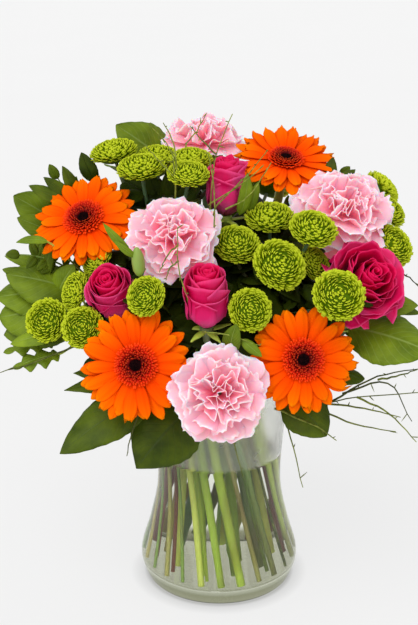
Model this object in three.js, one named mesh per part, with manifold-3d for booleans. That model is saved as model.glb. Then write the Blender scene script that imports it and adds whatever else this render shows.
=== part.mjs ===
// A bouquet standing in a waisted glass vase of water: gerberas, carnations, roses, sprays of
// pompon chrysanthemums, broad glossy leaves, feathery sprigs and thin green twigs.
// Millimetres, +Z up. The origin is on the table under the middle of the vase, and -Y is the front.
import * as THREE from "three";
import { ConvexGeometry } from "three/addons/geometries/ConvexGeometry.js";
import { mergeVertices } from "three/addons/utils/BufferGeometryUtils.js";
import Module from "manifold-3d";

const wasm = await Module();
wasm.setup();

// ---------------------------------------------------------------- driving sizes
const CLEARANCE = 0.4; // between pieces that touch in the real bouquet
const VASE = {
  height: 190,
  wall: 3.5,
  floor: 11, // the thick glass bottom
  insideRound: 5,
  sides: 24,
  // radius and height down the outside, from the foot to the rim
  outline: [[64, 0], [70, 22], [61, 56], [54.5, 92], [56.5, 138], [62, 190]],
  outlineSteps: 8,
};
const WATER_LEVEL = 120;
const BINDING_HEIGHT = 207; // where the stems cross, just above the rim
const FOOT_HEIGHT = 14; // the cut ends stand just off the vase's floor
// The stems stand in rings at the binding, twisted like a sheaf so that none crosses another.
const RINGS = {
  outer: { places: 21, binding: 33, foot: 55 },
  middle: { places: 9, binding: 18, foot: 35 },
  inner: { places: 3, binding: 6, foot: 14 },
};
const FRONT = -Math.PI / 2; // the first place of each ring looks to the front
const MIDDLE = new THREE.Vector3(0, 15, 225); // of the dome of flowers
const GOLDEN_ANGLE = Math.PI * (3 - Math.sqrt(5));

const COLOURS = {
  orange: { color: 0xf7700a, roughness: 0.55 },
  darkEye: { color: 0x2a1210, roughness: 0.8 },
  pink: { color: 0xf4b3c6, roughness: 0.6 },
  magenta: { color: 0xc4104e, roughness: 0.55 },
  lime: { color: 0x8fb021, roughness: 0.6 },
  stemGreen: { color: 0x6f9a3c, roughness: 0.5 },
  leafGreen: { color: 0x3f6d1c, roughness: 0.4 },
  sprigGreen: { color: 0x4c7233, roughness: 0.5 },
  twigGreen: { color: 0x5c6b26, roughness: 0.7 },
};

// Where each bloom's base is, the way it faces, its size and its stem's place in the sheaf.
const GERBERAS = [
  { name: "gerbera_front_left", at: [-66, -99, 237], faces: [-0.05, -0.93, 0.37], size: 45, ring: "outer", place: 19 },
  { name: "gerbera_front_right", at: [64, -95, 240], faces: [0.12, -0.92, 0.38], size: 43, ring: "outer", place: 3 },
  { name: "gerbera_left", at: [-111, -7, 328], faces: [-0.2, -0.62, 0.76], size: 44, ring: "middle", place: 7 },
  { name: "gerbera_top", at: [56, 48, 364], faces: [0.1, -0.36, 0.93], size: 43.5, ring: "middle", place: 3 },
];
const CARNATIONS = [
  { name: "carnation_front", at: [-1, -112, 219], faces: [0, -0.94, 0.34], size: 38, ring: "outer", place: 0 },
  { name: "carnation_centre", at: [-37, -50, 323], faces: [-0.1, -0.7, 0.7], size: 38, ring: "middle", place: 8 },
  { name: "carnation_right", at: [101, 0, 331], faces: [0.2, -0.55, 0.81], size: 41, ring: "middle", place: 2 },
  { name: "carnation_top", at: [-14, 86, 368], faces: [0, -0.15, 0.99], size: 36, ring: "middle", place: 4 },
  { name: "carnation_back", at: [92, 92, 283], faces: [0.64, 0.64, 0.42], size: 36, ring: "outer", place: 8 },
];
const ROSES = [
  { name: "rose_centre", at: [-11, -80, 264], faces: [0, -0.3, 0.95], size: 17.5, tall: 1.3, ring: "middle", place: 0 },
  { name: "rose_left", at: [-82, -52, 268], faces: [-0.22, -0.55, 0.8], size: 18, ring: "outer", place: 18 },
  { name: "rose_right", at: [108, -45, 282], faces: [0.35, -0.72, 0.6], size: 23.5, open: 1, ring: "outer", place: 5 },
  { name: "rose_top", at: [5, -4, 334], faces: [0.02, 0, 1], size: 18, tall: 1.12, ring: "inner", place: 0 },
  { name: "rose_back", at: [-74, 96, 276], faces: [-0.5, 0.7, 0.5], size: 21, ring: "outer", place: 12 },
];
// A spray is one branching stem with a pompon on each branch: [middle of the pompon, radius, way it is turned].
const SPRAYS = [
  {
    name: "pompons_top_left", fork: [-52, 34, 300], ring: "middle", place: 6,
    heads: [
      [[-90, 42, 376], 19, [-0.2, -0.05, 1]], [[-65, 8, 370], 19, [-0.08, -0.15, 1]], [[-53, 50, 370], 17, [0, -0.1, 1]],
      [[-24, 22, 374], 17, [0, -0.1, 1]], [[-26, -18, 371], 16, [0.05, -0.3, 0.95]],
    ],
  },
  {
    name: "pompons_centre", fork: [42, -32, 268], ring: "middle", place: 1,
    heads: [
      [[41, -20, 335], 19, [0, -0.25, 0.97]], [[74, -50, 334], 18, [0.2, -0.45, 0.87]], [[13, -42, 319], 18],
      [[76, -38, 302], 15], [[46, -78, 313], 20],
    ],
  },
  {
    name: "pompons_right", fork: [112, 20, 272], ring: "outer", place: 7,
    heads: [[[142, 60, 340], 17], [[143, 24, 330], 16, [0.6, -0.3, 0.75]], [[143, -8, 308], 18, [0.45, -0.6, 0.65]]],
  },
  {
    name: "pompons_low_right", fork: [54, -48, 262], ring: "outer", place: 2,
    heads: [[[90, -108, 298], 19, [0.1, -0.8, 0.6]], [[23, -96, 282], 16]],
  },
  {
    name: "pompons_left", fork: [-88, -34, 238], ring: "outer", place: 17,
    heads: [
      [[-100, -30, 301], 15], [[-117, -50, 282], 15], [[-141, -50, 257], 17, [-0.3, -0.8, 0.5]],
      [[-110, -72, 259], 16, [-0.1, -0.85, 0.5]], [[-58, -92, 292], 15],
    ],
  },
  {
    name: "pompons_back", fork: [14, 82, 278], ring: "outer", place: 10,
    heads: [[[46, 112, 330], 18], [[6, 132, 300], 19], [[-42, 122, 320], 17]],
  },
];
const POMPON_FLORETS = 21;
const GERBERA_RAYS = 13; // in each of the two layers

// A leafy stem: it ends at its top, and each leaf runs from its base to its tip.
const LEAFY_STEMS = [
  {
    name: "leaves_front_left", top: [-50, -62, 205], ring: "outer", place: 20,
    leaves: [
      { from: [-60, -74, 199], to: [-129, -100, 161], width: 44, faces: [-0.2, -0.7, 0.7] },
      { from: [-26, -73, 188], to: [-69, -94, 145], width: 60, faces: [0.1, -0.9, 0.4] },
      { from: [-72, -62, 206], to: [-126, -78, 207], width: 24, faces: [0, -0.6, 0.8] },
    ],
  },
  {
    name: "leaves_front_right", top: [48, -58, 203], ring: "outer", place: 4,
    leaves: [
      { from: [56, -70, 201], to: [86, -90, 172], width: 40, faces: [0.2, -0.9, 0.5] },
      { from: [80, -50, 214], to: [120, -50, 206], width: 26, faces: [0.2, -0.4, 0.9] },
    ],
  },
  {
    name: "leaves_right", top: [92, -22, 236], ring: "outer", place: 6,
    leaves: [
      { from: [106, -42, 248], to: [168, -70, 238], width: 54, faces: [0, -0.55, 0.84] },
      { from: [118, -8, 256], to: [166, -30, 256], width: 24, faces: [0.2, -0.4, 0.9] },
      { from: [104, 6, 232], to: [164, 20, 210], width: 36, faces: [0.4, -0.3, 0.85] },
    ],
  },
  {
    name: "leaves_back_right", top: [72, 62, 228], ring: "outer", place: 9,
    leaves: [
      { from: [92, 72, 232], to: [146, 104, 206], width: 38, faces: [0.4, 0.5, 0.75] },
      { from: [58, 84, 226], to: [72, 146, 196], width: 42, faces: [0.1, 0.6, 0.8] },
      { from: [110, 54, 262], to: [162, 62, 278], width: 34, faces: [0.5, 0, 0.85] },
    ],
  },
  {
    name: "leaves_back", top: [-10, 76, 226], ring: "outer", place: 11,
    leaves: [
      { from: [8, 92, 224], to: [16, 156, 196], width: 42, faces: [0, 0.6, 0.8] },
      { from: [-34, 88, 226], to: [-52, 150, 204], width: 40, faces: [-0.1, 0.6, 0.8] },
      { from: [-8, 96, 256], to: [-14, 156, 262], width: 34, faces: [0, -0.1, 1] },
    ],
  },
  {
    name: "leaves_back_left", top: [-88, 40, 238], ring: "outer", place: 13,
    leaves: [
      { from: [-124, 42, 304], to: [-175, 28, 342], width: 42, faces: [-0.1, -0.75, 0.65] },
      { from: [-118, 62, 252], to: [-170, 84, 236], width: 40, faces: [-0.4, 0.3, 0.85] },
      { from: [-96, 76, 238], to: [-136, 124, 214], width: 38, faces: [-0.4, 0.4, 0.8] },
      { from: [-130, 20, 306], to: [-170, 8, 328], width: 24, faces: [-0.1, -0.8, 0.6] },
    ],
  },
  {
    name: "leaves_left", top: [-104, -14, 240], ring: "outer", place: 15,
    leaves: [
      { from: [-130, -8, 266], to: [-186, -22, 268], width: 46, faces: [-0.1, -0.6, 0.8] },
      { from: [-138, -34, 233], to: [-178, -50, 230], width: 28, faces: [-0.1, -0.5, 0.86], lobed: true },
      { from: [-132, -46, 226], to: [-170, -60, 215], width: 30, faces: [-0.1, -0.6, 0.8], lobed: true },
      { from: [-118, 6, 236], to: [-176, 16, 222], width: 38, faces: [-0.3, -0.1, 0.95] },
    ],
  },
  {
    name: "leaves_top", top: [-24, 88, 320], ring: "middle", place: 5,
    leaves: [
      { from: [-42, 98, 350], to: [-90, 92, 391], width: 52, faces: [0.28, -0.76, 0.6] },
      { from: [-56, 98, 330], to: [-104, 112, 350], width: 34, faces: [-0.2, 0.4, 0.9] },
      { from: [-10, 108, 336], to: [-12, 146, 366], width: 30, faces: [0, -0.6, 0.8] },
    ],
  },
];

// A feathery sprig: a thin axis with small leaflets in pairs.
const SPRIGS = [
  { name: "sprig_left", route: [[-102, 44, 286], [-124, 52, 324], [-139, 48, 352]], pairs: 4, leaflet: [22, 9], ring: "outer", place: 14 },
  { name: "sprig_far_left", route: [[-120, 2, 278], [-138, -8, 300], [-165, -20, 304]], pairs: 4, leaflet: [18, 8], ring: "outer", place: 16 },
  { name: "sprig_right", route: [[40, 70, 300], [86, 70, 332], [106, 70, 350]], pairs: 4, leaflet: [18, 8], ring: "inner", place: 1 },
];
const TWIGS = [
  {
    name: "twigs_right", ring: "outer", place: 1, route: [[22, -66, 206], [72, -66, 190], [112, -68, 197], [168, -74, 204]],
    shoots: [
      [[72, -66, 190], [110, -80, 178], [142, -90, 176]],
      [[92, -67, 193], [128, -66, 214], [166, -62, 220]],
      [[50, -66, 196], [58, -82, 166], [68, -90, 126]],
      [[112, -68, 197], [138, -76, 186], [160, -84, 164]],
    ],
  },
  {
    name: "twigs_top", ring: "inner", place: 2, route: [[-9, -27, 300], [-8, -29, 350], [-3, -20, 388], [10, -4, 418]],
    shoots: [
      [[-8, -29, 350], [14, -38, 366], [34, -42, 384]],
      [[-3, -20, 388], [-14, -24, 400], [-24, -24, 412]],
    ],
  },
];

// ---------------------------------------------------------------- points, skins and solids
const point = (p) => new THREE.Vector3(...p);

/** A point at a turn round the flower's axis, a distance out from it and a height up it. */
const polar = (turn, out, up) => new THREE.Vector3(out * Math.cos(turn), out * Math.sin(turn), up);

function meshOf(points, faces) {
  const geometry = new THREE.BufferGeometry().setFromPoints(points);
  geometry.setIndex(faces);
  return geometry;
}

function solidOf(geometry) {
  const bare = new THREE.BufferGeometry().setAttribute("position", geometry.getAttribute("position"));
  if (geometry.index) bare.setIndex(geometry.index);
  const merged = mergeVertices(bare, 1e-3);
  return new wasm.Manifold(new wasm.Mesh({
    numProp: 3,
    vertProperties: merged.attributes.position.array,
    triVerts: new Uint32Array(merged.index.array),
  }));
}

function geometryOf(solid) {
  const made = solid.getMesh();
  const geometry = new THREE.BufferGeometry();
  geometry.setAttribute("position", new THREE.BufferAttribute(new Float32Array(made.vertProperties), 3));
  geometry.setIndex(new THREE.BufferAttribute(new Uint32Array(made.triVerts), 1));
  geometry.computeVertexNormals();
  return geometry;
}

/** Joins pieces that grow together into one body, without loose scraps or sealed hollows. */
function fuse(pieces) {
  const joined = pieces.map(solidOf).reduce((all, next) => all.add(next));
  return geometryOf(joined.decompose().reduce((most, body) => (body.volume() > most.volume() ? body : most)));
}

/** A closed body through rings of points, each ring anticlockwise seen from the end; one point is a tip. */
function loft(rings) {
  const points = rings.flat();
  const faces = [];
  let start = 0;
  rings.slice(0, -1).forEach((ring, i) => {
    const next = rings[i + 1];
    const after = start + ring.length;
    const count = Math.max(ring.length, next.length);
    for (let k = 0; k < count; k++) {
      const here = [k, k + 1].map((n) => start + (n % ring.length));
      const there = [k, k + 1].map((n) => after + (n % next.length));
      if (ring.length > 1) faces.push(here[0], here[1], there[1]);
      if (next.length > 1) faces.push(here[0], there[1], there[0]);
    }
    start = after;
  });
  for (let k = 1; k < rings[0].length - 1; k++) faces.push(0, k + 1, k);
  for (let k = 1; k < rings.at(-1).length - 1; k++) faces.push(start, start + k, start + k + 1);
  return meshOf(points, faces);
}

/** A round or few-sided body along a line of points, with a radius at each; radius 0 is a tip. */
function pipe(points, radii, sides) {
  let across = new THREE.Vector3(1, 0, 0);
  return loft(points.map((p, i) => {
    if (radii[i] === 0) return [p];
    const before = points[Math.max(i - 1, 0)];
    const after = points[Math.min(i + 1, points.length - 1)];
    const along = after.clone().sub(before).normalize();
    across = across.clone().addScaledVector(along, -across.dot(along)).normalize();
    const other = along.clone().cross(across);
    return Array.from({ length: sides }, (_, k) => {
      const angle = (2 * Math.PI * k) / sides;
      return p.clone()
        .addScaledVector(across, radii[i] * Math.cos(angle))
        .addScaledVector(other, radii[i] * Math.sin(angle));
    });
  }));
}

/**
 * A thin blade from rows of points on its upper face, each row from left to right; a last row of
 * one point is a tip. Its edges are sharp, and both faces are split alike. A flat one has no rib
 * on its underside.
 */
function blade(rows, thickness, flat = false) {
  const points = [];
  const faces = [];
  const pick = (row, share) => row[Math.round(share * (row.length - 1))];
  const put = (a, b, c, turned) => {
    if (a !== b && b !== c && c !== a) faces.push(...(turned ? [a, c, b] : [a, b, c]));
  };
  const strip = (near, far, turned) => {
    const columns = Math.max(near.length, far.length) - 1;
    for (let j = 0; j < columns; j++) {
      const [n0, n1] = [j, j + 1].map((k) => pick(near, k / columns));
      const [f0, f1] = [j, j + 1].map((k) => pick(far, k / columns));
      put(n0, n1, f1, turned);
      put(n0, f1, f0, turned);
    }
  };
  const top = rows.map((row) => row.map((p) => points.push(p) - 1));
  const under = rows.map((row, i) => {
    if (flat) return row.length > 1 ? [top[i][0], top[i].at(-1)] : top[i];
    return row.map((p, j) => {
      if (j === 0 || j === row.length - 1) return top[i][j];
      const share = j / (row.length - 1);
      const after = pick(rows[Math.min(i + 1, rows.length - 1)], share);
      const along = after.clone().sub(pick(rows[Math.max(i - 1, 0)], share));
      const normal = row[j + 1].clone().sub(row[j - 1]).cross(along).normalize();
      return points.push(p.clone().addScaledVector(normal, -thickness)) - 1;
    });
  });
  for (let i = 0; i < rows.length - 1; i++) {
    strip(top[i], top[i + 1], false);
    strip(under[i], under[i + 1], true);
  }
  [[0, true], [rows.length - 1, false]].forEach(([i, atRoot]) => {
    if (flat) {
      for (let j = 1; j < top[i].length - 1; j++) put(top[i][0], top[i][j], top[i][j + 1], atRoot);
    } else strip(top[i], under[i], atRoot);
  });
  return meshOf(points, faces);
}

/**
 * A petal standing round a flower's axis. Each station gives its distance out and height up,
 * half its width, the rise of its middle and how far its columns wave out and up by turns.
 */
function petal(turn, stations, { columns = 3, thickness = 0.8, flat = false } = {}) {
  const rows = stations.map(({ out, up, half, rib = 0, wave = [0, 0] }, i) => {
    if (half === 0) return [polar(turn, out, up)];
    const across = i === 0 ? 3 : columns;
    return Array.from({ length: across }, (_, k) => {
      const side = 1 - (2 * k) / (across - 1);
      const sway = k % 2 ? 1 : -1;
      const lift = rib * (1 - Math.abs(side));
      return polar(turn + (side * half) / out, out + sway * wave[0], up + sway * wave[1] + lift);
    });
  });
  return blade(rows, thickness, flat);
}

/** A full circle of one kind of petal, the first at a given turn. */
const whorl = (count, turn, stations, options) =>
  Array.from({ length: count }, (_, i) => petal(turn + (2 * Math.PI * i) / count, stations(i), options));

/** A ring round a flower's axis whose points are by turns nearer and farther out, lower and higher. */
const zigzagRing = (count, outs, ups, scale = 1) => Array.from({ length: count }, (_, k) =>
  polar((2 * Math.PI * k) / count, outs[k % 2] * scale, ups[k % 2] * scale));

function lathe(profile, sides) {
  const points = profile.map(([r, z]) => new THREE.Vector2(r, z));
  return new THREE.LatheGeometry(points, sides).rotateX(Math.PI / 2);
}

// ---------------------------------------------------------------- vase and water
const outside = new THREE.SplineCurve(VASE.outline.map((p) => new THREE.Vector2(...p))).getPoints(VASE.outlineSteps);

function outerRadiusAt(height) {
  const i = Math.max(1, outside.findIndex((p) => p.y >= height));
  const [low, high] = [outside[i - 1], outside[i]];
  return THREE.MathUtils.mapLinear(height, low.y, high.y, low.x, high.x);
}

/** The inside of the glass up to a height, shrunk by a margin, from the middle of its floor. */
function insideProfile(to, margin) {
  const floor = VASE.floor + margin;
  const wallFoot = floor + VASE.insideRound;
  const heights = [wallFoot, ...outside.map((p) => p.y).filter((y) => y > wallFoot && y < to), to];
  const wall = heights.map((y) => [outerRadiusAt(y) - VASE.wall - margin, y]);
  return [[0, floor], [wall[0][0] - VASE.insideRound, floor], ...wall];
}

function makeVase() {
  const footEdge = [[0, 0], [outside[0].x - 2, 0], [outside[0].x, 1.5]];
  const outer = outside.slice(1).map((p) => [p.x, p.y]);
  return lathe([...footEdge, ...outer, ...insideProfile(VASE.height, 0).reverse()], VASE.sides);
}

/** Water that fills the vase up to its level, with a plain hole for every stem. */
function makeWater(stems) {
  const full = lathe([...insideProfile(WATER_LEVEL, CLEARANCE), [0, WATER_LEVEL]], VASE.sides);
  return geometryOf(stems.reduce((water, { foot, binding, radius }) => {
    const down = foot.clone().sub(binding).normalize();
    const drill = [foot.clone().addScaledVector(down, 1), foot.clone().lerp(binding, 0.62)];
    return water.subtract(solidOf(pipe(drill, drill.map(() => radius + 2 * CLEARANCE), 5)));
  }, solidOf(full)));
}

// ---------------------------------------------------------------- stems
const stemsInWater = [];

/** The line of a stem from its cut end, through its place at the binding, to where it meets its head. */
function stemLine({ ring, place }, end, arrives, radius, steps = 3) {
  const { places, binding, foot } = RINGS[ring];
  const turn = FRONT + (2 * Math.PI * place) / places;
  const twist = Math.acos(binding / foot);
  const low = polar(turn + twist, foot, FOOT_HEIGHT);
  const waist = polar(turn, binding, BINDING_HEIGHT);
  stemsInWater.push({ foot: low, binding: waist, radius });
  const reach = 0.4 * end.distanceTo(waist);
  const upward = waist.clone().sub(low).normalize();
  const bend = new THREE.CubicBezierCurve3(
    waist,
    waist.clone().addScaledVector(upward, reach),
    end.clone().addScaledVector(arrives, -reach),
    end,
  );
  return [low, ...bend.getPoints(steps)];
}

/** A flower's stem, widening to its cup; the cup's profile is [distance back from the bloom, radius]. */
function flowerStem(flower, radius, cup, sides = 5) {
  const faces = point(flower.faces).normalize();
  const base = point(flower.at);
  const back = (distance) => base.clone().addScaledVector(faces, -distance);
  const line = stemLine(flower, back(cup[0][0]), faces, radius);
  const widening = cup.slice(1);
  return pipe(
    [...line, ...widening.map(([distance]) => back(distance))],
    [...line.map(() => radius), ...widening.map(([, wide]) => wide)],
    sides,
  );
}

/** Small pointed bracts or sepals under a bloom, carried to the bloom's place. */
function bracts(flower, count, stations) {
  const carry = seatOf(flower);
  return whorl(count, 0.3, () => stations, { thickness: 0.8, flat: true }).map((g) => g.applyMatrix4(carry));
}

/** What carries a piece that faces +Z at the origin to its place. */
function seatOf({ at, faces }) {
  const turn = new THREE.Quaternion().setFromUnitVectors(new THREE.Vector3(0, 0, 1), point(faces).normalize());
  return new THREE.Matrix4().compose(point(at), turn, new THREE.Vector3(1, 1, 1));
}

// ---------------------------------------------------------------- blooms, each facing +Z from its base
function gerberaRays(size) {
  const ray = (reach, up, half) => [
    { out: 10.5, up, half: 1.5, rib: 1.1 },
    { out: reach * 0.72, up: up + 2.4, half: size * half, rib: 1.2 },
    { out: reach, up: up + 1, half: size * half * 0.45, rib: 0.8 },
  ];
  const facet = Math.PI / GERBERA_RAYS; // half the turn from one ray to the next
  const outer = whorl(GERBERA_RAYS, facet, (i) => ray(size * (i % 3 ? 1 : 0.96), 1.6, 0.145), { flat: true });
  const inner = whorl(GERBERA_RAYS, 0, (i) => ray(size * (i % 2 ? 0.83 : 0.77), 4.8, 0.115), { flat: true });
  return fuse([gerberaCrown(), ...outer, ...inner]);
}

/** The ring of short narrow florets round the eye: a saw-edged collar that the rays grow from. */
function gerberaCrown() {
  const ring = (outs, ups) => zigzagRing(GERBERA_RAYS, outs, ups);
  return loft([
    ring([8.5, 8.5], [0, 0]),
    ring([12.5, 12.5], [4, 4]),
    ring([18, 13], [10.6, 8]),
    ring([8.6, 8.6], [8.6, 8.6]),
    ring([8.4, 8.4], [5.6, 5.6]),
  ]);
}

/** The dark eye: a low dome of tiny buds set in the collar. */
function gerberaEye() {
  const ring = (outs, ups) => zigzagRing(10, outs, ups);
  return loft([
    ring([7.4, 7.4], [6, 6]),
    ring([7.9, 7], [8.4, 9.2]),
    ring([3.4, 4.6], [9.8, 9]),
    [polar(0, 0, 8.4)],
  ]);
}

function carnationPetals(size) {
  const s = size / 38;
  const station = (out, up, half, wave) => ({ out: out * s, up: up * s, half: half * s, wave });
  const core = loft([
    ...[[4.5, 0], [7, 18]].map(([r, z]) => zigzagRing(6, [r, r], [z, z], s)),
    zigzagRing(6, [9, 4], [31, 24], s),
  ]);
  const guard = whorl(5, 0, (i) => [
    station(3.6, 3, 1.6),
    station(22, 11, 11, [0, 0.8]),
    station(i % 2 ? 38 : 36, 9, 21, [1.6, 3]),
  ], { columns: 5, thickness: 1.1 });
  const middle = whorl(4, 0.6, (i) => [
    station(3.6, 8, 1.6),
    station(18, 18, 11, [0.5, 1]),
    station(i % 2 ? 30 : 28, 20, 18.5, [1.5, 2.6]),
  ], { columns: 5, thickness: 1.1 });
  const inner = whorl(3, 0.2, () => [
    station(3.6, 13, 1.6),
    station(17, 26, 13.5, [1.5, 2.2]),
  ], { columns: 5, thickness: 1.1 });
  return fuse([core, ...guard, ...middle, ...inner]);
}

function rosePetals(size, open = 0, stretch = 1) {
  const s = size / 20;
  const tall = (open ? 1 : 1.24) * stretch; // a bud is taller than an open bloom
  const station = (out, up, half) => ({ out: out * s, up: up * s * tall, half: half * s });
  const heart = loft([
    ...[[4.5, 0], [8.6, 9], [8.6, 26]].map(([r, z]) => zigzagRing(6, [r, r], [z * tall, z * tall], s)),
    zigzagRing(6, [6, 3.5], [38 * tall, 33 * tall], s),
  ]);
  const inner = whorl(3, 0.4, (i) => [
    station(7, 8, 3),
    station(13.2, 22, 12.5),
    station(11.5 + 2 * open, 38 + i, 11.5),
  ], { thickness: 1 });
  const middle = whorl(3, 1.2, (i) => [
    station(6.5, 4, 3),
    station(16.6, 17, 15.6),
    station(17.2 + 4 * open, 36 - i, 15),
  ], { thickness: 1 });
  const outer = whorl(5, 0, (i) => [
    station(4.5, 1, 2),
    station(18.6, 13, 10.8),
    station(19.6 + 8 * open, (i % 2 ? 32 : 29) - 3 * open, 11 + 2.5 * open),
  ], { thickness: 1 });
  return fuse([heart, ...inner, ...middle, ...outer]);
}

/** A dense pompon: a flattened ball all covered in pointed florets, with valleys sunk between them. */
function pompon(radius) {
  const florets = Array.from({ length: POMPON_FLORETS }, (_, i) => {
    const height = 1 - (2 * i + 1) / POMPON_FLORETS;
    const squash = height > 0 ? 0.56 : 0.4;
    return polar(i * GOLDEN_ANGLE, Math.sqrt(1 - height * height), height * squash).multiplyScalar(radius);
  });
  const hull = new ConvexGeometry(florets).getAttribute("position");
  const points = [];
  for (let i = 0; i < hull.count; i += 3) {
    const corners = [0, 1, 2].map((k) => new THREE.Vector3().fromBufferAttribute(hull, i + k));
    const valley = corners.reduce((sum, p) => sum.add(p), new THREE.Vector3()).multiplyScalar(0.76 / 3);
    corners.forEach((p, k) => points.push(p, corners[(k + 1) % 3], valley));
  }
  return new THREE.BufferGeometry().setFromPoints(points);
}

// ---------------------------------------------------------------- sprays and greenery
function spray({ fork, heads, ...stem }) {
  const top = point(fork);
  const radius = 2.7;
  const line = stemLine(stem, top, new THREE.Vector3(0, 0, 1), radius);
  const main = pipe(line, line.map(() => radius), 5);
  const branches = heads.flatMap(([middle, size, turned]) => {
    const centre = point(middle);
    // a pompon faces out of the bouquet unless it is turned, and its branch comes into it from behind
    const faces = (turned ? point(turned) : centre.clone().sub(MIDDLE)).normalize();
    const head = pompon(size).applyMatrix4(seatOf({ at: middle, faces: faces.toArray() }));
    const neck = centre.clone().addScaledVector(faces, -size * 0.2);
    const bend = neck.clone().addScaledVector(faces, -0.45 * neck.distanceTo(top));
    const start = top.clone().addScaledVector(top.clone().sub(line.at(-2)).normalize(), -1);
    const route = new THREE.QuadraticBezierCurve3(start, bend, neck).getPoints(2);
    return [pipe(route, route.map(() => 1.6), 3), head];
  });
  return fuse([main, ...branches]);
}

/** Half-widths of a leaf by turns along it: whole, or cut into the lobes of a chrysanthemum's. */
const LEAF_OUTLINES = {
  whole: [[0, 0.12, 0], [0.24, 0.8, 0.05], [0.52, 1, 0.07], [0.8, 0.55, 0.04], [1, 0, 0]],
  lobed: [
    [0, 0.1, 0], [0.2, 0.3, 0.03], [0.34, 0.95, 0.05], [0.44, 0.45, 0.06],
    [0.62, 1, 0.06], [0.7, 0.5, 0.05], [0.86, 0.6, 0.03], [1, 0, 0],
  ],
};

/** A leaf on its stalk, as one blade from the stem to the tip. */
function leaf({ from, to, width, faces, lobed }, stem) {
  const start = point(from);
  const along = point(to).sub(start);
  const upper = point(faces).normalize();
  const midrib = [
    { at: stem, half: 0.9, rib: 1.3 },
    ...LEAF_OUTLINES[lobed ? "lobed" : "whole"].map(([share, wide, arch]) => ({
      at: start.clone().addScaledVector(along, share).addScaledVector(upper, arch * along.length()),
      half: (wide * width) / 2,
      rib: wide * width * 0.06 + 1,
    })),
  ];
  return blade(midrib.map(({ at, half, rib }, i) => {
    if (half === 0) return [at];
    const before = midrib[Math.max(i - 1, 0)].at;
    const run = midrib[i + 1].at.clone().sub(before);
    const across = run.cross(upper).normalize();
    return [-1, 0, 1].map((side) => at.clone()
      .addScaledVector(across, side * half)
      .addScaledVector(upper, side ? 0 : rib));
  }), 1, true);
}

function leafyStem({ top, leaves, ...stem }) {
  const radius = 1.9;
  const line = stemLine(stem, point(top), new THREE.Vector3(0, 0, 1), radius);
  const joint = line.at(-1).clone().lerp(line.at(-2), 0.08);
  return fuse([pipe(line, line.map(() => radius), 5), ...leaves.map((made) => leaf(made, joint))]);
}

function sprig({ route, pairs, leaflet, ...stem }) {
  const [length, width] = leaflet;
  const curve = new THREE.QuadraticBezierCurve3(...route.map(point));
  const line = stemLine(stem, point(route[0]), curve.getTangent(0), 1.5);
  const axis = [...line, ...curve.getPoints(3).slice(1)];
  const leaflets = Array.from({ length: 2 * pairs + 1 }, (_, i) => {
    const last = i === 2 * pairs;
    const share = last ? 1 : 0.3 + (0.7 * Math.floor(i / 2)) / pairs;
    const base = curve.getPoint(share * 0.98);
    const along = curve.getTangent(share);
    const across = along.clone().cross(new THREE.Vector3(0.1, -0.9, 0.4)).normalize();
    const side = last ? 0 : i % 2 ? 1 : -1;
    const reach = along.clone().addScaledVector(across, side * 1.5).normalize().multiplyScalar(length);
    const up = across.clone().cross(along).normalize();
    const broad = reach.clone().cross(up).normalize();
    const row = (part, wide) => [-1, 0, 1].map((k) => base.clone()
      .addScaledVector(reach, part)
      .addScaledVector(broad, (k * wide * width) / 2)
      .addScaledVector(up, k ? -0.5 : 0.5));
    return blade([row(0, 0.15), row(0.5, 1), [base.clone().add(reach)]], 0.8, true);
  });
  return fuse([pipe(axis, axis.map((_, i) => (i < line.length ? 1.5 : 1.1)), 3), ...leaflets]);
}

function twigs({ route, shoots, ...stem }) {
  const points = route.map(point);
  const line = stemLine(stem, points[0], points[1].clone().sub(points[0]).normalize(), 1.3);
  const axis = [...line, ...points.slice(1)];
  const taper = axis.map((_, i) => Math.max(0.7, 1.3 - 0.12 * Math.max(0, i - line.length + 1)));
  const side = shoots.map((shoot) => pipe(shoot.map(point), shoot.map((_, i) => 1 - 0.15 * i), 3));
  return fuse([pipe(axis, taper, 4), ...side]);
}

// ---------------------------------------------------------------- the bouquet
const bouquet = new THREE.Group();

function add(name, geometry, colour, parent = bouquet) {
  const mesh = new THREE.Mesh(geometry, new THREE.MeshStandardMaterial({ metalness: 0, ...COLOURS[colour] }));
  mesh.name = name;
  parent.add(mesh);
}

/** A group at a bloom's place, so that its pieces are made facing +Z at the origin. */
function seat(flower) {
  const group = new THREE.Group();
  group.applyMatrix4(seatOf(flower));
  bouquet.add(group);
  return group;
}

GERBERAS.forEach((flower) => {
  const group = seat(flower);
  add(flower.name + "_rays", gerberaRays(flower.size), "orange", group);
  add(flower.name + "_eye", gerberaEye(), "darkEye", group);
  add(flower.name + "_stem", flowerStem(flower, 3.3, [[12, 3.3], [7, 5], [CLEARANCE, 8]]), "stemGreen");
});

CARNATIONS.forEach((flower) => {
  add(flower.name + "_petals", carnationPetals(flower.size), "pink", seat(flower));
  add(flower.name + "_stem", flowerStem(flower, 2.5, [[20, 2.5], [17, 5], [CLEARANCE, 6]]), "stemGreen");
});

ROSES.forEach((flower) => {
  add(flower.name + "_petals", rosePetals(flower.size, flower.open, flower.tall), "magenta", seat(flower));
  const stem = flowerStem(flower, 2.9, [[9, 2.9], [6, 5], [CLEARANCE, 5]]);
  const sepals = bracts(flower, 5, [
    { out: 3, up: -3, half: 2.6, rib: 1.4 },
    { out: 22, up: -6, half: 0 },
  ]);
  add(flower.name + "_stem", fuse([stem, ...sepals]), "stemGreen");
});

SPRAYS.forEach((made) => add(made.name, spray(made), "lime"));
LEAFY_STEMS.forEach((made) => add(made.name, leafyStem(made), "leafGreen"));
SPRIGS.forEach((made) => add(made.name, sprig(made), "sprigGreen"));
TWIGS.forEach((made) => add(made.name, twigs(made), "twigGreen"));

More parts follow.
